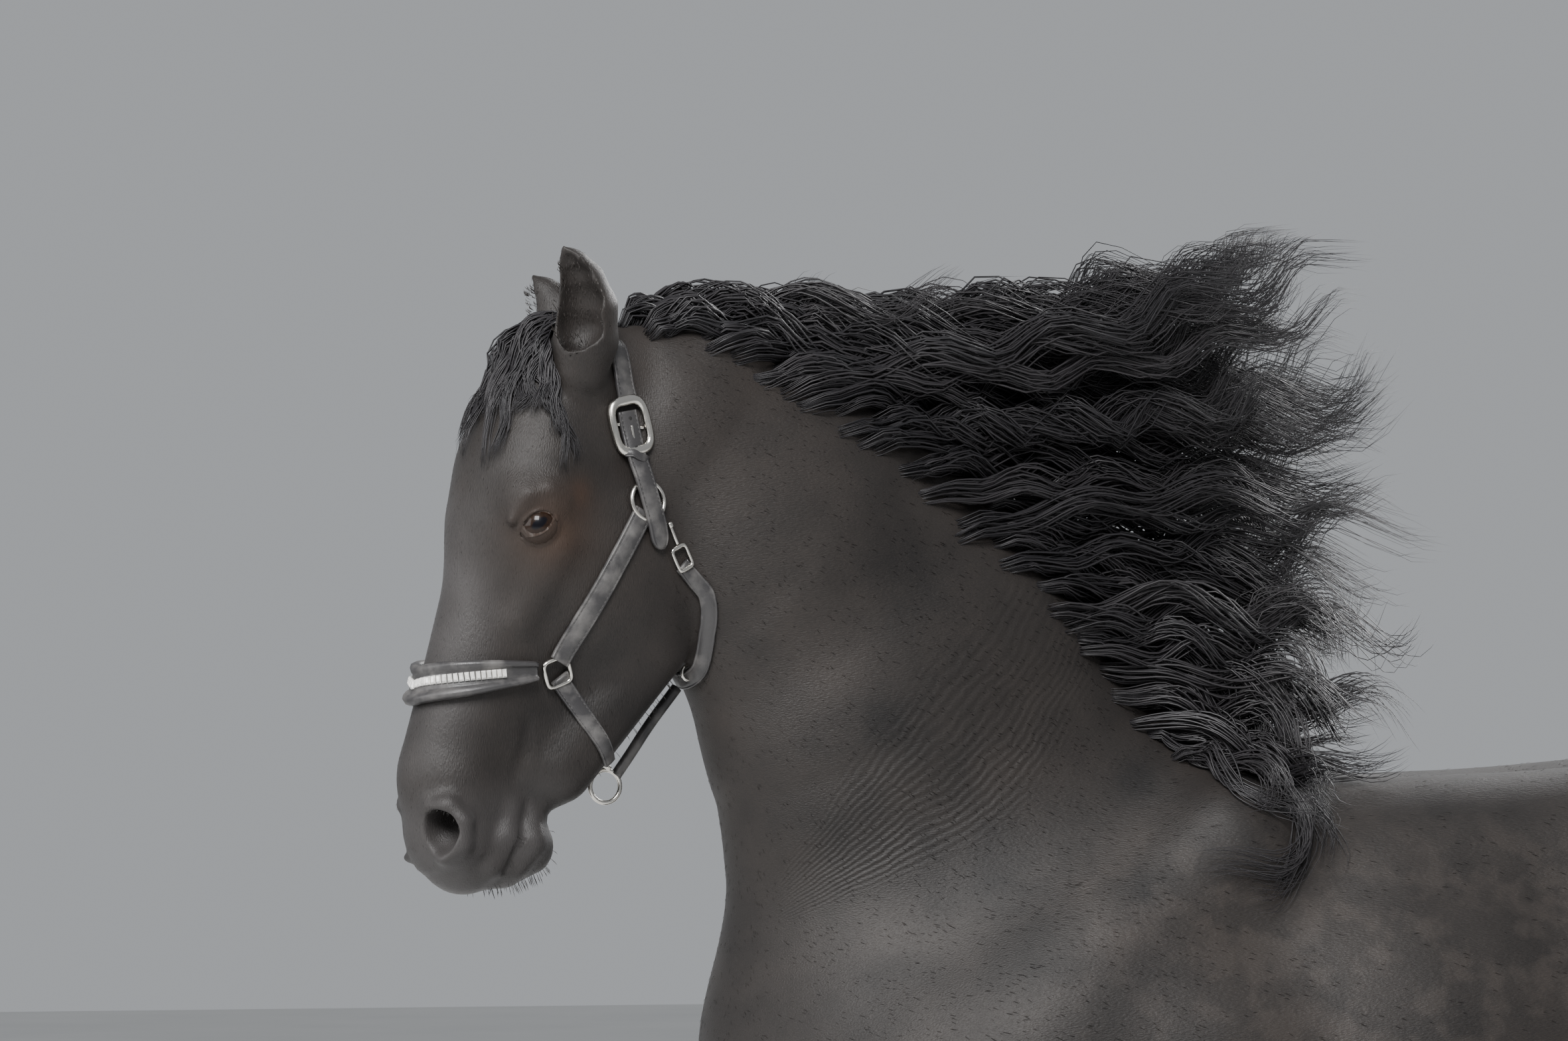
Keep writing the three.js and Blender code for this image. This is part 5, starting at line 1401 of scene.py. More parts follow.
def make_fittings(thick, metal, dark):
    """Rings, squares, buckle, snap and the small fittings of the chin and throat."""
    for label, side in SIDES:
        at, n = on_head(28, 1932, side, 8)
        wire(f"ring_{label}", at, n, DOWN, 21, 2.6, 1.0, 2.0, metal, f"halter_ring_{label}")
        at, n = on_head(-71, 1747, side, 6)
        wire(f"square_{label}", at, n, SQUARE_DOWN, 15, 2.5, 1.0, 5.0, metal, f"halter_square_{label}")
    at, n = on_head(12, 2014, -1, 7)
    wire("buckle", at, n, BUCKLE_DOWN, 21.5, 4.6, 1.3, 3.6, metal, "halter_buckle")
    rod("buckle_bar", at + (-17, 0, 2) - n * 3.6, at + (17, 0, -2) - n * 3.6, 1.9, metal)
    rod("buckle_prong", at + n * 1.6, at + (4, 0, -24) + n * 2.2, 1.5, metal)
    make_holes(thick, dark)
    ball_at = side_point(55, 1906, -1, 8)
    loop_at, n = on_head(65, 1885, -1, 8)
    rod("snap_ball", ball_at + (-1, 0, 3), ball_at + (2, 0, -3), 3.6, metal)
    rod("snap_shank", ball_at, loop_at, 2.1, metal, "nickel", "halter_snap")
    wire("snap_loop", side_point(71, 1870, -1, 8), n, SNAP_DOWN, 9.5, 2.0, 1.35, 6.0, metal)
    facing = np.array((0.0, -1.0, 0.0))
    wire("chin_ring", CHIN_RING_AT, facing, DOWN, 18, 2.6, 1.0, 2.0, metal, "halter_chin_ring")
    rod("chin_stud", CHIN_RING_AT + (-8, -9, 26), CHIN_RING_AT + (2, -9, 19), 3.0, metal)
    wire("throat_ring", THROAT_RING_AT, np.array((0.2, -1.0, 0.0)), DOWN, 8, 1.8, 1.0, 2.0, metal)


# Eyes and hooves


def make_eyes(finish):
    """Wet eyeballs set under the lids; each point keeps its place across the eye for iris and pupil."""
    for label, side in SIDES:
        bpy.ops.object.select_all(action="DESELECT")
        bpy.ops.mesh.primitive_uv_sphere_add(segments=64, ring_count=40, radius=1.0)
        piece = bpy.context.object
        piece.name = f"eyeball_{label}"
        p = coords(piece)
        bulge = 1 + 0.035 * smooth(p[:, 2], 0.6, 1.0)
        straight = EYE + (p @ np.stack((EYE_ALONG, EYE_UP, EYE_OUT))) * (EYE_RADIUS * bulge)[:, None]
        put(piece, "gaze", p)
        set_coords(piece, to_frame(straight * (1, side, 1)))
        face_outward(piece)
        shade_smooth(piece)
        finished(piece, finish, "eye", f"eye_{label}")


# Rings of a hoof, from the ground up: height, how far it leans back, and its share of the full size
HOOF_LEVELS = [(0, 0, 1.0), (3, 0.6, 1.004), (12, 3, 0.985), (24, 6, 0.95), (40, 11, 0.9), (56, 16, 0.855),
               (70, 20, 0.815), (78, 22, 0.8), (84, 23, 0.79), (87, 23.5, 0.77)]
HOOF_LENGTH = 146.0
HOOF_WIDTH = 132.0
HOOF_SIDES = 56
HOOF_TOES = (("foreleg", 168.0, FORE_Y), ("hindleg", 1416.0, HIND_Y))


def hoof_ring(toe_x, y, level):
    """One level ring of a hoof, flattened and notched at the heel."""
    z, back, scale = level
    turn = np.linspace(0, 2 * math.pi, HOOF_SIDES, endpoint=False)
    heel = np.where(np.cos(turn) > 0, 0.86, 1.0) - 0.05 * np.maximum(0, np.cos(turn)) * np.cos(4 * turn)
    size = scale * (1 + 0.004 * math.sin(z * 0.9)) / 2
    x = toe_x + HOOF_LENGTH / 2 + back * 0.7 + np.cos(turn) * heel * size * HOOF_LENGTH
    return np.stack((x, y + np.sin(turn) * size * HOOF_WIDTH, np.full(HOOF_SIDES, float(z))), 1)


def make_hooves(finish):
    """Slanted walls on flat soles, with a notched heel and growth rings."""
    for name, toe_x, leg_y in HOOF_TOES:
        for label, side in SIDES:
            rings = [hoof_ring(toe_x, side * leg_y, level) for level in HOOF_LEVELS]
            verts = np.concatenate((*rings, [rings[0].mean(0)], [rings[-1].mean(0)]))
            faces = wall(len(rings), HOOF_SIDES) + caps(len(rings), HOOF_SIDES)
            piece = new_mesh(f"horn_{name}_{label}", to_frame(verts), faces)
            face_outward(piece)
            finished(piece, finish, "hoof", f"hoof_{name}_{label}")

# Materials: patterns shared between them are node groups


def feed(tree, target, inputs):
    """Gives a node's inputs their values, or links them from sockets."""
    for key, value in inputs.items():
        if isinstance(value, bpy.types.NodeSocket):
            tree.links.new(value, target.inputs[key])
        else:
            target.inputs[key].default_value = value


def node(tree, kind, inputs=None, **settings):
    """A new node of the tree, with its settings and its inputs."""
    new = tree.nodes.new("ShaderNode" + kind)
    for key, value in settings.items():
        setattr(new, key, value)
    feed(tree, new, inputs or {})
    return new


def calc(tree, operation, a, b=0.0, c=0.0, clamp=False):
    return node(tree, "Math", {0: a, 1: b, 2: c}, operation=operation, use_clamp=clamp).outputs[0]


def weighed(tree, *terms):
    """The sum of values, each times its weight."""
    total = 0.0
    for value, weight in terms:
        total = calc(tree, "ADD", total, calc(tree, "MULTIPLY", value, weight))
    return total


def away(tree, a, b):
    """How far a place is from the middle, from its two coordinates."""
    return calc(tree, "SQRT", weighed(tree, (a, a), (b, b)))


def ramp(tree, value, low=0.0, high=1.0, first=0.0, last=1.0):
    """A value between low and high spread from first to last."""
    return node(tree, "MapRange", {0: value, 1: low, 2: high, 3: first, 4: last}).outputs[0]


def mixed(tree, share, a, b):
    """A colour between two, each given as a socket or as red, green and blue."""
    a, b = (c if isinstance(c, bpy.types.NodeSocket) else (*c, 1.0) for c in (a, b))
    return node(tree, "Mix", {0: share, 6: a, 7: b}, data_type="RGBA").outputs[2]


def bump(tree, height, strength, distance):
    return node(tree, "Bump", {"Height": height, "Strength": strength, "Distance": distance}).outputs[0]


def grey_of(tree, colour):
    return node(tree, "RGBToBW", {0: colour}).outputs[0]


def noise(tree, place, scale, detail=3.0, stretch=(1, 1, 1), turn=0.0):
    """Noise from 0 to 1, finer along the axes of the larger stretches."""
    spread = node(tree, "Mapping", {"Vector": place, "Scale": stretch, "Rotation": (0, turn, 0)})
    made = node(tree, "TexNoise", {"Vector": spread.outputs[0], "Scale": scale, "Detail": detail})
    return made.outputs["Fac"]


def kept(tree, name):
    """A number that the piece keeps at each of its points."""
    return node(tree, "Attribute", attribute_name=name).outputs["Fac"]


def colours():
    return bpy.context.scene.horse_colours


def group(name, build):
    """The node group of that name, filled by its build function when it is first asked for."""
    if name not in bpy.data.node_groups:
        tree = bpy.data.node_groups.new(name, "ShaderNodeTree")
        made = build(tree, node(tree, "TexCoord").outputs["Object"])
        for label, (kind, _) in made.items():
            tree.interface.new_socket(name=label, in_out="OUTPUT", socket_type="NodeSocket" + kind)
        feed(tree, tree.nodes.new("NodeGroupOutput"), {label: value for label, (_, value) in made.items()})
    return bpy.data.node_groups[name]


# Scales of the hide's noises: wide patches of painted sheen, dapples and spots, the lie of the hair, folds
# and pores
SHEEN_PATCH_SCALE = 5.0
DAPPLE_SCALE = 15.0
SPOT_SCALE = 26.0
LIE_SCALE = 9.0
FOLD_WOBBLE_SCALE = 16.0
FOLD_DEPTH_SCALE = 14.0
PORE_SCALE = 420.0
BACKWARD_STRETCH = (22, 90, 90)
BACKWARD_TURN = 0.5
DOWNWARD_STRETCH = (90, 90, 20)
RELIEF_STRENGTH = 0.42
RELIEF_DEPTH = 0.0022


def hide_pattern(tree, place):
    """Colour of the hide with its painted sheen and shade, roughness and relief, the same on the skin and on
    the short coat.
    """
    dapple = noise(tree, place, DAPPLE_SCALE, 2.0)
    backward = noise(tree, place, LIE_SCALE, 4.0, BACKWARD_STRETCH, BACKWARD_TURN)
    downward = noise(tree, place, LIE_SCALE, 4.0, DOWNWARD_STRETCH)
    streak = grey_of(tree, mixed(tree, kept(tree, "downward"), backward, downward))
    spots = ramp(tree, noise(tree, place, SPOT_SCALE, 2.0), 0.47, 0.62)
    dappled = calc(tree, "MULTIPLY", kept(tree, "dapples"), 0.24)
    # Wide patches of painted sheen
    wide = noise(tree, place, SHEEN_PATCH_SCALE, 4.0)
    # Painted sheen and painted shade of the neck and shoulder
    painted_light = kept(tree, "painted_light")
    tone_and_painted_light = weighed(tree, (wide, 0.6), (dapple, 0.35), (painted_light, 0.22), (streak, 0.35), (spots, dappled))
    # From the dark coat to its lighter dapples and painted sheen; painted shade pulls it to the dark
    colour = mixed(tree, ramp(tree, tone_and_painted_light, 0.45, 1.05), colours().hide_dark, colours().hide_dapple_and_sheen)
    brown = calc(tree, "MULTIPLY", kept(tree, "brown"), 0.6, clamp=True)
    colour = mixed(tree, brown, colour, colours().eye_brown)
    # Grey of the bare muzzle, and painted sheen down the nose's bridge
    grey = calc(tree, "MULTIPLY", calc(tree, "MULTIPLY", kept(tree, "grey"), 0.7), dapple)
    colour = mixed(tree, grey, colour, colours().muzzle_grey_and_bridge_sheen)
    tuft = calc(tree, "MULTIPLY_ADD", kept(tree, "shade"), 0.5, 0.85)
    bright = node(tree, "HueSaturation", {"Color": colour, "Value": tuft}).outputs[0]
    wobble = noise(tree, place, FOLD_WOBBLE_SCALE, 3.0)
    phase = weighed(tree, (kept(tree, "fold"), 2 * math.pi), (wobble, 14.0))
    deep = calc(tree, "MULTIPLY", kept(tree, "fold_depth"), noise(tree, place, FOLD_DEPTH_SCALE, 2.0))
    folded = (calc(tree, "SINE", phase), calc(tree, "MULTIPLY", deep, 0.5))
    pores = (noise(tree, place, PORE_SCALE, 2.0), calc(tree, "MULTIPLY", kept(tree, "grey"), 0.4))
    height = weighed(tree, folded, (streak, 0.9), pores)
    return {
        "Colour": ("Color", bright),
        "Roughness": ("Float", ramp(tree, tone_and_painted_light, 0.4, 1.2, 0.55, 0.38)),
        "Normal": ("Vector", bump(tree, height, RELIEF_STRENGTH, RELIEF_DEPTH)),
    }


def wear_pattern(tree, place):
    """Grain, creases and rubbed places of black leather."""
    grain = node(tree, "TexVoronoi", {"Vector": place, "Scale": 900.0}).outputs["Distance"]
    crease = noise(tree, place, 90.0, 5.0, (1, 1, 2.5))
    height = weighed(tree, (grain, 0.25), (crease, 1.0))
    rubbed = ramp(tree, noise(tree, place, 38.0, 4.0), 0.45, 0.7)
    return {"Rubbed": ("Float", rubbed), "Normal": ("Vector", bump(tree, height, 0.35, 0.0012))}


# Each look gives the inputs of its material's shader, from the tree and the piece's own coordinates


def tuft_look(tree, place):
    """Short coat, with the hide's colours and no relief of its own."""
    pattern = node(tree, "Group", node_tree=group("hide_pattern", hide_pattern))
    return {
        "Base Color": pattern.outputs["Colour"],
        "Roughness": pattern.outputs["Roughness"],
        "Specular IOR Level": 0.33,
    }


def coat_look(tree, place):
    """Hide under the short coat, with its folds and streaks in relief."""
    inputs = tuft_look(tree, place)
    pattern = inputs["Base Color"].node
    return {**inputs, "Normal": pattern.outputs["Normal"], "Sheen Weight": 0.03}


def hair_look(tree, place):
    """Long black hair, lighter towards its tips and from strand to strand."""
    shade, along = kept(tree, "shade"), kept(tree, "along")
    tone = weighed(tree, (shade, 1.0), (noise(tree, place, 7.0), 0.5), (along, 0.2))
    fibre = noise(tree, place, 60.0, 2.0, (2, 9, 2))
    return {
        "Base Color": mixed(tree, ramp(tree, tone, 0.3, 1.6), colours().hair_dark, colours().hair_light),
        "Roughness": ramp(tree, fibre, first=0.36, last=0.55),
        "Specular IOR Level": 0.45,
    }


def leather_look(tree, place):
    """Black leather, rubbed grey in places and dusty."""
    wear = node(tree, "Group", node_tree=group("wear_pattern", wear_pattern)).outputs
    colour = mixed(tree, wear["Rubbed"], colours().leather, colours().leather_rubbed)
    dust = calc(tree, "MULTIPLY", noise(tree, place, 12.0, 5.0), 0.35)
    return {
        "Base Color": mixed(tree, dust, colour, colours().dust),
        "Roughness": ramp(tree, wear["Rubbed"], first=0.38, last=0.56),
        "Normal": wear["Normal"],
    }


def dark_look(tree, place):
    """The shadow in a punched hole."""
    return {
        "Base Color": mixed(tree, noise(tree, place, 500.0), (0.003, 0.003, 0.003), (0.01, 0.009, 0.008)),
        "Roughness": 0.8,
    }


def thread_look(tree, place):
    """Waxed thread with its twist."""
    twist = node(tree, "TexWave", {"Vector": place, "Scale": 700.0, "Distortion": 1.0}).outputs["Fac"]
    return {
        "Base Color": mixed(tree, noise(tree, place, 300.0), (0.03, 0.03, 0.03), (0.11, 0.105, 0.1)),
        "Normal": bump(tree, twist, 0.3, 0.0003),
        "Roughness": 0.7,
    }


def nickel_look(tree, place):
    """Nickel plate, hazed and finely scratched."""
    haze = noise(tree, place, 60.0, 5.0)
    scratch = noise(tree, place, 300.0, 4.0, (1, 1, 6))
    return {
        "Base Color": mixed(tree, haze, colours().nickel, colours().nickel_hazed),
        "Metallic": 1.0,
        "Roughness": ramp(tree, haze, 0.35, 0.75, 0.14, 0.34),
        "Normal": bump(tree, scratch, 0.12, 0.0005),
    }


def stone_look(tree, place):
    """Clear cut stones, each a little different."""
    cloud = node(tree, "TexVoronoi", {"Vector": place, "Scale": 170.0}).outputs["Color"]
    return {
        "Base Color": mixed(tree, grey_of(tree, cloud), colours().stone_dark, colours().stone_light),
        "Roughness": ramp(tree, noise(tree, place, 800.0), first=0.05, last=0.2),
        "Metallic": 0.15,
        "Coat Weight": 1.0,
    }


# Growth rings of the horn: radians to a metre of height, and how far the noise shifts them
RING_TURNS = 780.0
RING_WOBBLE = 2.5


def horn_look(tree, place):
    """Dark horn with growth rings and an upright grain."""
    height = node(tree, "SeparateXYZ", {0: place}).outputs[2]
    phase = weighed(tree, (height, RING_TURNS), (noise(tree, place, 9.0, 2.0), RING_WOBBLE))
    ring = calc(tree, "SINE", phase)
    grain = noise(tree, place, 40.0, 4.0, (9, 9, 0.6))
    colour = mixed(tree, grain, colours().horn_dark, colours().horn_light)
    banded = calc(tree, "MULTIPLY_ADD", ring, 0.12, 0.5)
    return {
        "Base Color": mixed(tree, banded, colour, (0.09, 0.08, 0.07)),
        "Roughness": ramp(tree, grain, first=0.4, last=0.62),
        "Normal": bump(tree, weighed(tree, (ring, 0.35), (grain, 0.9)), 0.4, 0.0012),
    }


# Pupil of the eye: how much narrower its oval is counted across and up, and where its edge fades
PUPIL_ACROSS = 0.52
PUPIL_UP = 1.05
PUPIL_EDGE = (0.27, 0.2)
IRIS_EDGE = (0.78, 0.9)


def eye_look(tree, place):
    """Dark brown iris with fine rays, a level oval pupil and brown corners, all wet."""
    gaze = node(tree, "Attribute", attribute_name="gaze").outputs["Vector"]
    part = node(tree, "SeparateXYZ", {0: gaze}).outputs
    iris = mixed(tree, noise(tree, gaze, 9.0, 5.0, (1, 1, 3)), colours().iris_dark, colours().iris_light)
    wide, tall = calc(tree, "MULTIPLY", part[0], PUPIL_ACROSS), calc(tree, "MULTIPLY", part[1], PUPIL_UP)
    pupil = ramp(tree, away(tree, wide, tall), *PUPIL_EDGE)
    colour = mixed(tree, pupil, iris, (0.002, 0.002, 0.004))
    edge = ramp(tree, away(tree, part[0], part[1]), *IRIS_EDGE)
    corner = mixed(tree, noise(tree, place, 120.0, 4.0), (0.03, 0.016, 0.012), (0.008, 0.005, 0.004))
    return {
        "Base Color": mixed(tree, edge, colour, corner),
        "Roughness": 0.3,
        "Specular IOR Level": 0.12,
        "Coat Weight": 0.3,
        "Coat Roughness": 0.02,
    }


def floor_look(tree, place):
    """Plain, pale grey floor."""
    return {
        "Base Color": mixed(tree, noise(tree, place, 1.5, 6.0), (0.66, 0.66, 0.65), (0.78, 0.78, 0.77)),
        "Roughness": 0.9,
    }


LOOKS = {
    "coat_hide": coat_look,
    "coat_tufts": tuft_look,
    "long_hair": hair_look,
    "black_leather": leather_look,
    "hole_shadow": dark_look,
    "thread": thread_look,
    "nickel_plate": nickel_look,
    "cut_stones": stone_look,
    "dark_horn": horn_look,
    "wet_eye": eye_look,
    "floor": floor_look,
}


def look(name):
    """The material of that name, made when it is first asked for."""
    if name not in bpy.data.materials:
        made = bpy.data.materials.new(name)
        made.use_nodes = True
        tree = made.node_tree
        place = node(tree, "TexCoord").outputs["Object"]
        feed(tree, tree.nodes["Principled BSDF"], LOOKS[name](tree, place))
    return bpy.data.materials[name]


# Stage

FLOOR_SIZE = 60.0
FLOOR_Z = -0.0005
SKY_COLOUR = (0.9, 0.93, 0.97, 1.0)
# Lamps: name, place, size and share of the key light's power
LAMPS = (
    ("key", (-2.6, -4.4, 5.6), 2.6, 1.0),
    ("fill", (-6.0, -1.0, 3.0), 4.0, 0.3),
    ("rim", (3.5, 3.5, 4.5), 3.0, 0.6),
)
LIT_PLACE = Vector((-0.6, 0, 1.6))
SENSOR_WIDTH = 36.0
FARTHEST_SEEN = 200.0


def aimed(name, data, place, way):
    """A lamp or a camera at its place, facing a way."""
    made = bpy.data.objects.new(name, data)
    made.location = place
    made.rotation_mode = "QUATERNION"
    made.rotation_quaternion = way.to_track_quat("-Z", "Y")
    bpy.context.scene.collection.objects.link(made)
    return made


def make_stage(key_power, sky):
    """The floor, the sky, three lamps and the photograph's camera."""
    bpy.ops.object.select_all(action="DESELECT")
    bpy.ops.mesh.primitive_plane_add(size=FLOOR_SIZE, location=(0, 0, FLOOR_Z))
    floor = bpy.context.object
    floor.name = "floor_plane"
    floor.data.materials.append(look("floor"))
    world = bpy.data.worlds.new("studio")
    world.use_nodes = True
    feed(world.node_tree, world.node_tree.nodes["Background"], {"Color": SKY_COLOUR, "Strength": sky})
    bpy.context.scene.world = world
    for name, place, size, share in LAMPS:
        lamp = bpy.data.lights.new(name, "AREA")
        lamp.size = size
        lamp.energy = key_power * share
        aimed(name, lamp, place, LIT_PLACE - Vector(place))
    middle_z = (FRAME_TOP_Z - FRAME_MIDDLE[1] * PIXEL_MM) * MM
    target = Vector((-ORIGIN_X * MM, 0, middle_z))
    back = Vector((math.sin(CAMERA_AZIMUTH), -math.cos(CAMERA_AZIMUTH), 0))
    camera = bpy.data.cameras.new("camera")
    camera.sensor_width = SENSOR_WIDTH
    camera.lens = SENSOR_WIDTH * CAMERA_DISTANCE / (PHOTO_WIDTH * PIXEL_MM * MM)
    camera.clip_end = FARTHEST_SEEN
    bpy.context.scene.camera = aimed("camera", camera, target + back * CAMERA_DISTANCE, -back)


# Add-on: settings, operators and panel


def number(name, description, default, least):
    return IntProperty(name=name, description=description, default=default, min=least)


def length(name, description, default):
    return FloatProperty(
        name=name, description=description, default=default, subtype="DISTANCE", unit="LENGTH"
    )


def tint(name, description, default):
    return FloatVectorProperty(
        name=name, description=description, default=default, subtype="COLOR", size=3, min=0.0, max=1.0
    )


class HorseHair(bpy.types.PropertyGroup):
    """How full the coat, mane, forelock, tail and feather are."""

    coat_tufts: number("Coat tufts", "Short tufts on the whole hide", 22000, 100)
    mane_locks: number("Mane locks", "Locks along the crest", 150, 10)
    mane_strands: number("Strands in a mane lock", "Strands in each lock of the mane", 26, 1)
    forelock_locks: number("Forelock locks", "Locks between the ears", 26, 2)
    forelock_strands: number("Strands in a forelock lock", "Strands in each lock of the forelock", 22, 1)
    tail_locks: number("Tail locks", "Locks along the dock", 130, 10)
    tail_strands: number("Strands in a tail lock", "Strands in each lock of the tail", 14, 1)
    feather_locks: number("Feather locks", "Locks round each fetlock", 76, 4)
    feather_strands: number("Strands in a feather lock", "Strands in each lock of the feather", 10, 1)


class HorseHalter(bpy.types.PropertyGroup):
    """Sizes of the halter's straps and fittings."""

    strap_width: length("Strap width", "Width of the cheek straps", 0.024)
    strap_thickness: length("Strap thickness", "Thickness of the straps", 0.0045)
    stone_pitch: length("Stone pitch", "Distance between the noseband's stones", 0.0056)


class HorseColours(bpy.types.PropertyGroup):
    """Colours of the coat, hair, eyes, hooves and halter."""

    hide_dark: tint("Hide, dark", "Coat in its darkest places", (0.0075, 0.0062, 0.0058))
    # Lighter coat of the dapples, and painted sheen
    hide_dapple_and_sheen: tint("Hide, light", "Coat where it shines", (0.044, 0.036, 0.0315))
    eye_brown: tint("Brown by the eye", "Thin coat round the eye", (0.06, 0.032, 0.018))
    # Grey of the bare muzzle, also painted as sheen down the nose's bridge
    muzzle_grey_and_bridge_sheen: tint("Muzzle grey", "Bare skin of the muzzle and nose", (0.085, 0.082, 0.084))
    hair_dark: tint("Hair, dark", "Darkest hair of the mane, tail and feather", (0.0065, 0.006, 0.0075))
    hair_light: tint("Hair, light", "Lightest hair of the mane, tail and feather", (0.032, 0.029, 0.031))
    iris_dark: tint("Iris, dark", "Dark of the iris's rays", (0.004, 0.0025, 0.002))
    iris_light: tint("Iris, light", "Light of the iris's rays", (0.026, 0.012, 0.006))
    horn_dark: tint("Horn, dark", "Dark grain of the hooves", (0.022, 0.019, 0.017))
    horn_light: tint("Horn, light", "Light grain of the hooves", (0.13, 0.11, 0.092))
    leather: tint("Leather", "Leather where it is whole", (0.016, 0.015, 0.017))
    leather_rubbed: tint("Leather, rubbed", "Leather where it is rubbed", (0.11, 0.104, 0.1))
    dust: tint("Dust", "Dust on the leather", (0.13, 0.125, 0.12))
    nickel: tint("Nickel", "Nickel where it is clean", (0.74, 0.72, 0.68))
    nickel_hazed: tint("Nickel, hazed", "Nickel where it is dull", (0.5, 0.47, 0.42))
    stone_dark: tint("Stone, dark", "Darker of the noseband's stones", (0.62, 0.61, 0.58))
    stone_light: tint("Stone, light", "Lighter of the noseband's stones", (1.0, 0.98, 0.94))


class HorseStage(bpy.types.PropertyGroup):
    """Light of the stage."""

    key_power: FloatProperty(
        name="Key light", description="Power of the key light", default=620.0, subtype="POWER", unit="POWER"
    )
    sky: FloatProperty(name="Sky", description="Strength of the light from all sides", default=0.42)


class HORSE_OT_stage(bpy.types.Operator):
    """Sets the floor, the lights and the camera"""

    bl_idname = "horse.stage"
    bl_label = "Make the stage"

    def execute(self, context):
        light = context.scene.horse_stage
        make_stage(light.key_power, light.sky)
        return {"FINISHED"}


class HORSE_OT_skin(bpy.types.Operator):
    """Makes the whole hide as one closed surface"""

    bl_idname = "horse.skin"
    bl_label = "Make the skin"

    def execute(self, context):
        make_skin(look("coat_hide"))
        return {"FINISHED"}


class HORSE_OT_eyes(bpy.types.Operator):
    """Makes the wet eyeballs under the lids"""

    bl_idname = "horse.eyes"
    bl_label = "Make the eyes"

    def execute(self, context):
        make_eyes(look("wet_eye"))
        return {"FINISHED"}


class HORSE_OT_hooves(bpy.types.Operator):
    """Makes the four hooves"""

    bl_idname = "horse.hooves"
    bl_label = "Make the hooves"

    def execute(self, context):
        make_hooves(look("dark_horn"))
        return {"FINISHED"}


class HORSE_OT_short_coat(bpy.types.Operator):
    """Grows the short coat and the fringes on the skin"""

    bl_idname = "horse.short_coat"
    bl_label = "Grow the short coat"

    def execute(self, context):
        if "skin" not in bpy.data.objects:
            raise RuntimeError("The short coat grows on the skin, which isn't made yet")
        make_short_coat(context.scene.horse_hair.coat_tufts, look("coat_tufts"))
        make_fringes(look("coat_tufts"))
        return {"FINISHED"}


class HORSE_OT_mane(bpy.types.Operator):
    """Grows the mane and the forelock"""

    bl_idname = "horse.mane"
    bl_label = "Grow the mane"

    def execute(self, context):
        hair = context.scene.horse_hair
        make_mane(hair.mane_locks, hair.mane_strands, look("long_hair"))
        make_forelock(hair.forelock_locks, hair.forelock_strands, look("long_hair"))
        return {"FINISHED"}


class HORSE_OT_tail(bpy.types.Operator):
    """Grows the tail"""

    bl_idname = "horse.tail"
    bl_label = "Grow the tail"

    def execute(self, context):
        hair = context.scene.horse_hair
        make_tail(hair.tail_locks, hair.tail_strands, look("long_hair"))
        return {"FINISHED"}


class HORSE_OT_feather(bpy.types.Operator):
    """Grows the feather round the four fetlocks"""

    bl_idname = "horse.feather"
    bl_label = "Grow the feather"

    def execute(self, context):
        hair = context.scene.horse_hair
        make_feather(hair.feather_locks, hair.feather_strands, look("long_hair"))
        return {"FINISHED"}


class HORSE_OT_straps(bpy.types.Operator):
    """Lays the halter's straps and noseband on the head, with their stitching"""

    bl_idname = "horse.straps"
    bl_label = "Make the straps"

    def execute(self, context):
        halter = context.scene.horse_halter
        wide, thick = halter.strap_width / MM, halter.strap_thickness / MM
        make_straps(wide, thick, look("black_leather"), look("thread"))
        return {"FINISHED"}


class HORSE_OT_stones(bpy.types.Operator):
    """Sets the row of cut stones on the noseband"""

    bl_idname = "horse.stones"
    bl_label = "Set the stones"

    def execute(self, context):
        make_stones(context.scene.horse_halter.stone_pitch / MM, look("cut_stones"))
        return {"FINISHED"}


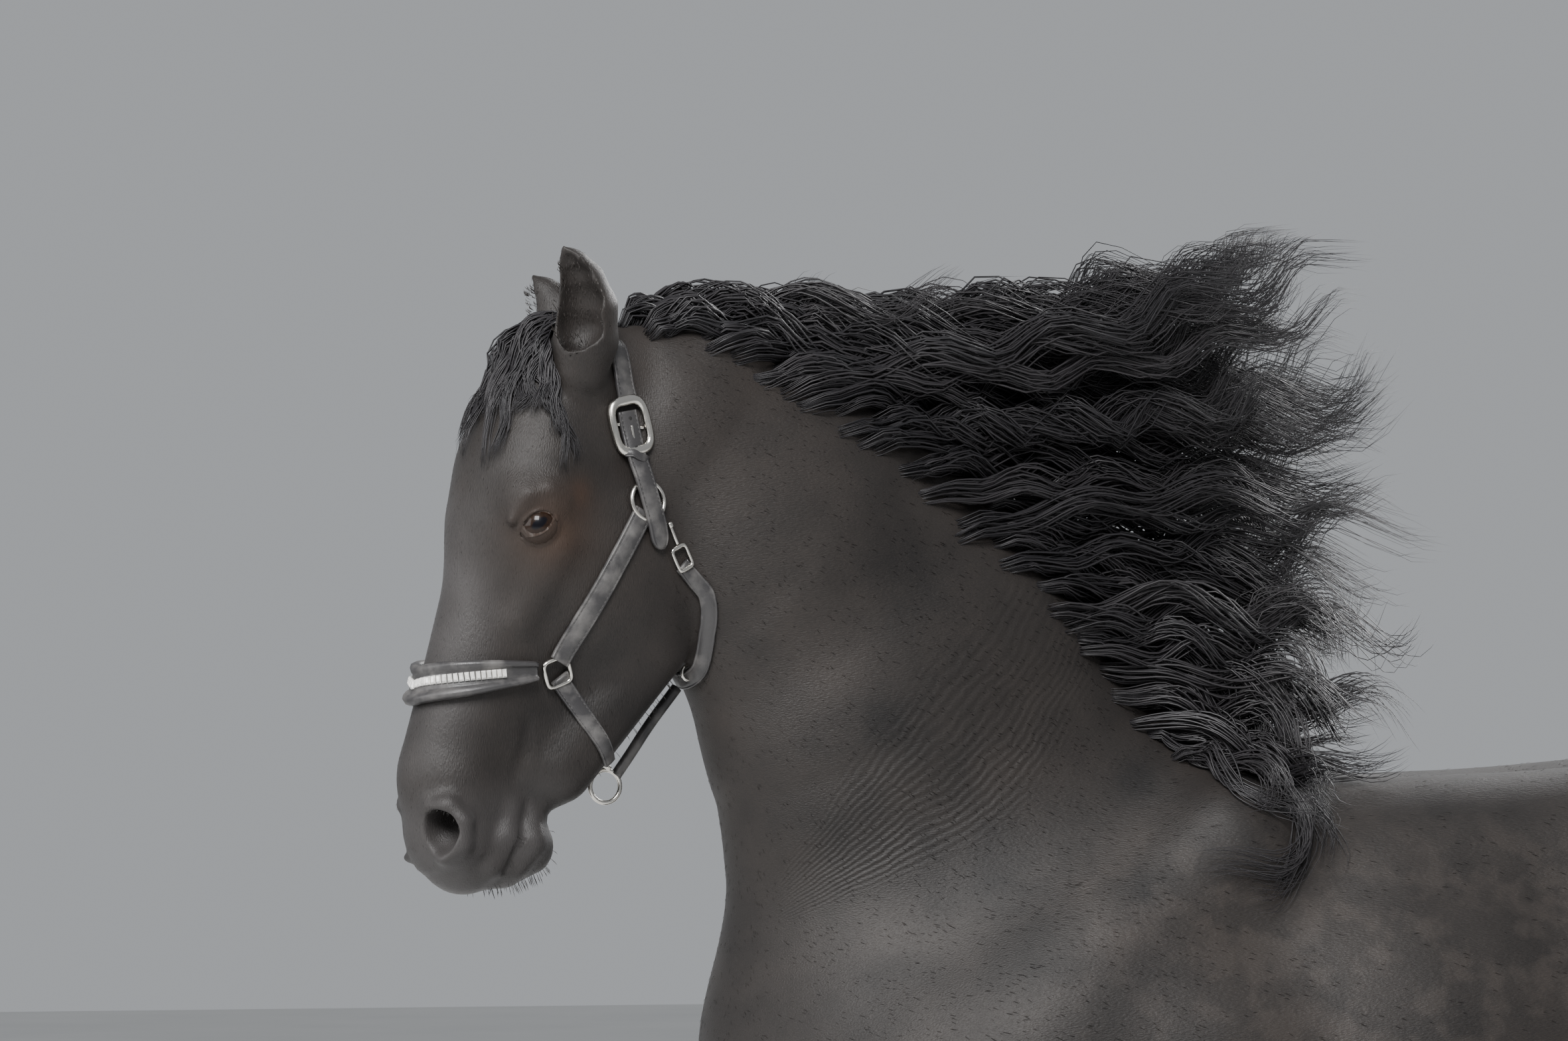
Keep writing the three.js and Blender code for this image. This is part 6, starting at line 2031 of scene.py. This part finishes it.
class HORSE_OT_fittings(bpy.types.Operator):
    """Makes the halter's buckle, rings, squares and snap"""

    bl_idname = "horse.fittings"
    bl_label = "Make the fittings"

    def execute(self, context):
        thick = context.scene.horse_halter.strap_thickness / MM
        make_fittings(thick, look("nickel_plate"), look("hole_shadow"))
        return {"FINISHED"}


OPERATORS = (
    HORSE_OT_stage,
    HORSE_OT_skin,
    HORSE_OT_eyes,
    HORSE_OT_hooves,
    HORSE_OT_short_coat,
    HORSE_OT_mane,
    HORSE_OT_tail,
    HORSE_OT_feather,
    HORSE_OT_straps,
    HORSE_OT_stones,
    HORSE_OT_fittings,
)
SETTINGS = {
    "horse_hair": HorseHair,
    "horse_halter": HorseHalter,
    "horse_colours": HorseColours,
    "horse_stage": HorseStage,
}


class HORSE_PT_sidebar(bpy.types.Panel):
    """The horse's settings and the buttons that make its pieces."""

    bl_idname = "HORSE_PT_sidebar"
    bl_label = "Horse"
    bl_space_type = "VIEW_3D"
    bl_region_type = "UI"
    bl_category = "Horse"

    def draw(self, context):
        for key, made in SETTINGS.items():
            box = self.layout.box()
            for name in made.__annotations__:
                box.prop(getattr(context.scene, key), name)
        for operator in OPERATORS:
            self.layout.operator(operator.bl_idname)


def register():
    for made in (*SETTINGS.values(), *OPERATORS, HORSE_PT_sidebar):
        bpy.utils.register_class(made)
    for name, settings in SETTINGS.items():
        setattr(bpy.types.Scene, name, PointerProperty(type=settings))


def unregister():
    for name in SETTINGS:
        delattr(bpy.types.Scene, name)
    for made in (HORSE_PT_sidebar, *OPERATORS[::-1], *SETTINGS.values()):
        bpy.utils.unregister_class(made)


def main():
    register()
    bpy.ops.horse.stage()
    bpy.ops.horse.skin()
    bpy.ops.horse.eyes()
    bpy.ops.horse.hooves()
    bpy.ops.horse.short_coat()
    bpy.ops.horse.mane()
    bpy.ops.horse.tail()
    bpy.ops.horse.feather()
    bpy.ops.horse.straps()
    bpy.ops.horse.stones()
    bpy.ops.horse.fittings()


if __name__ == "__main__":
    main()
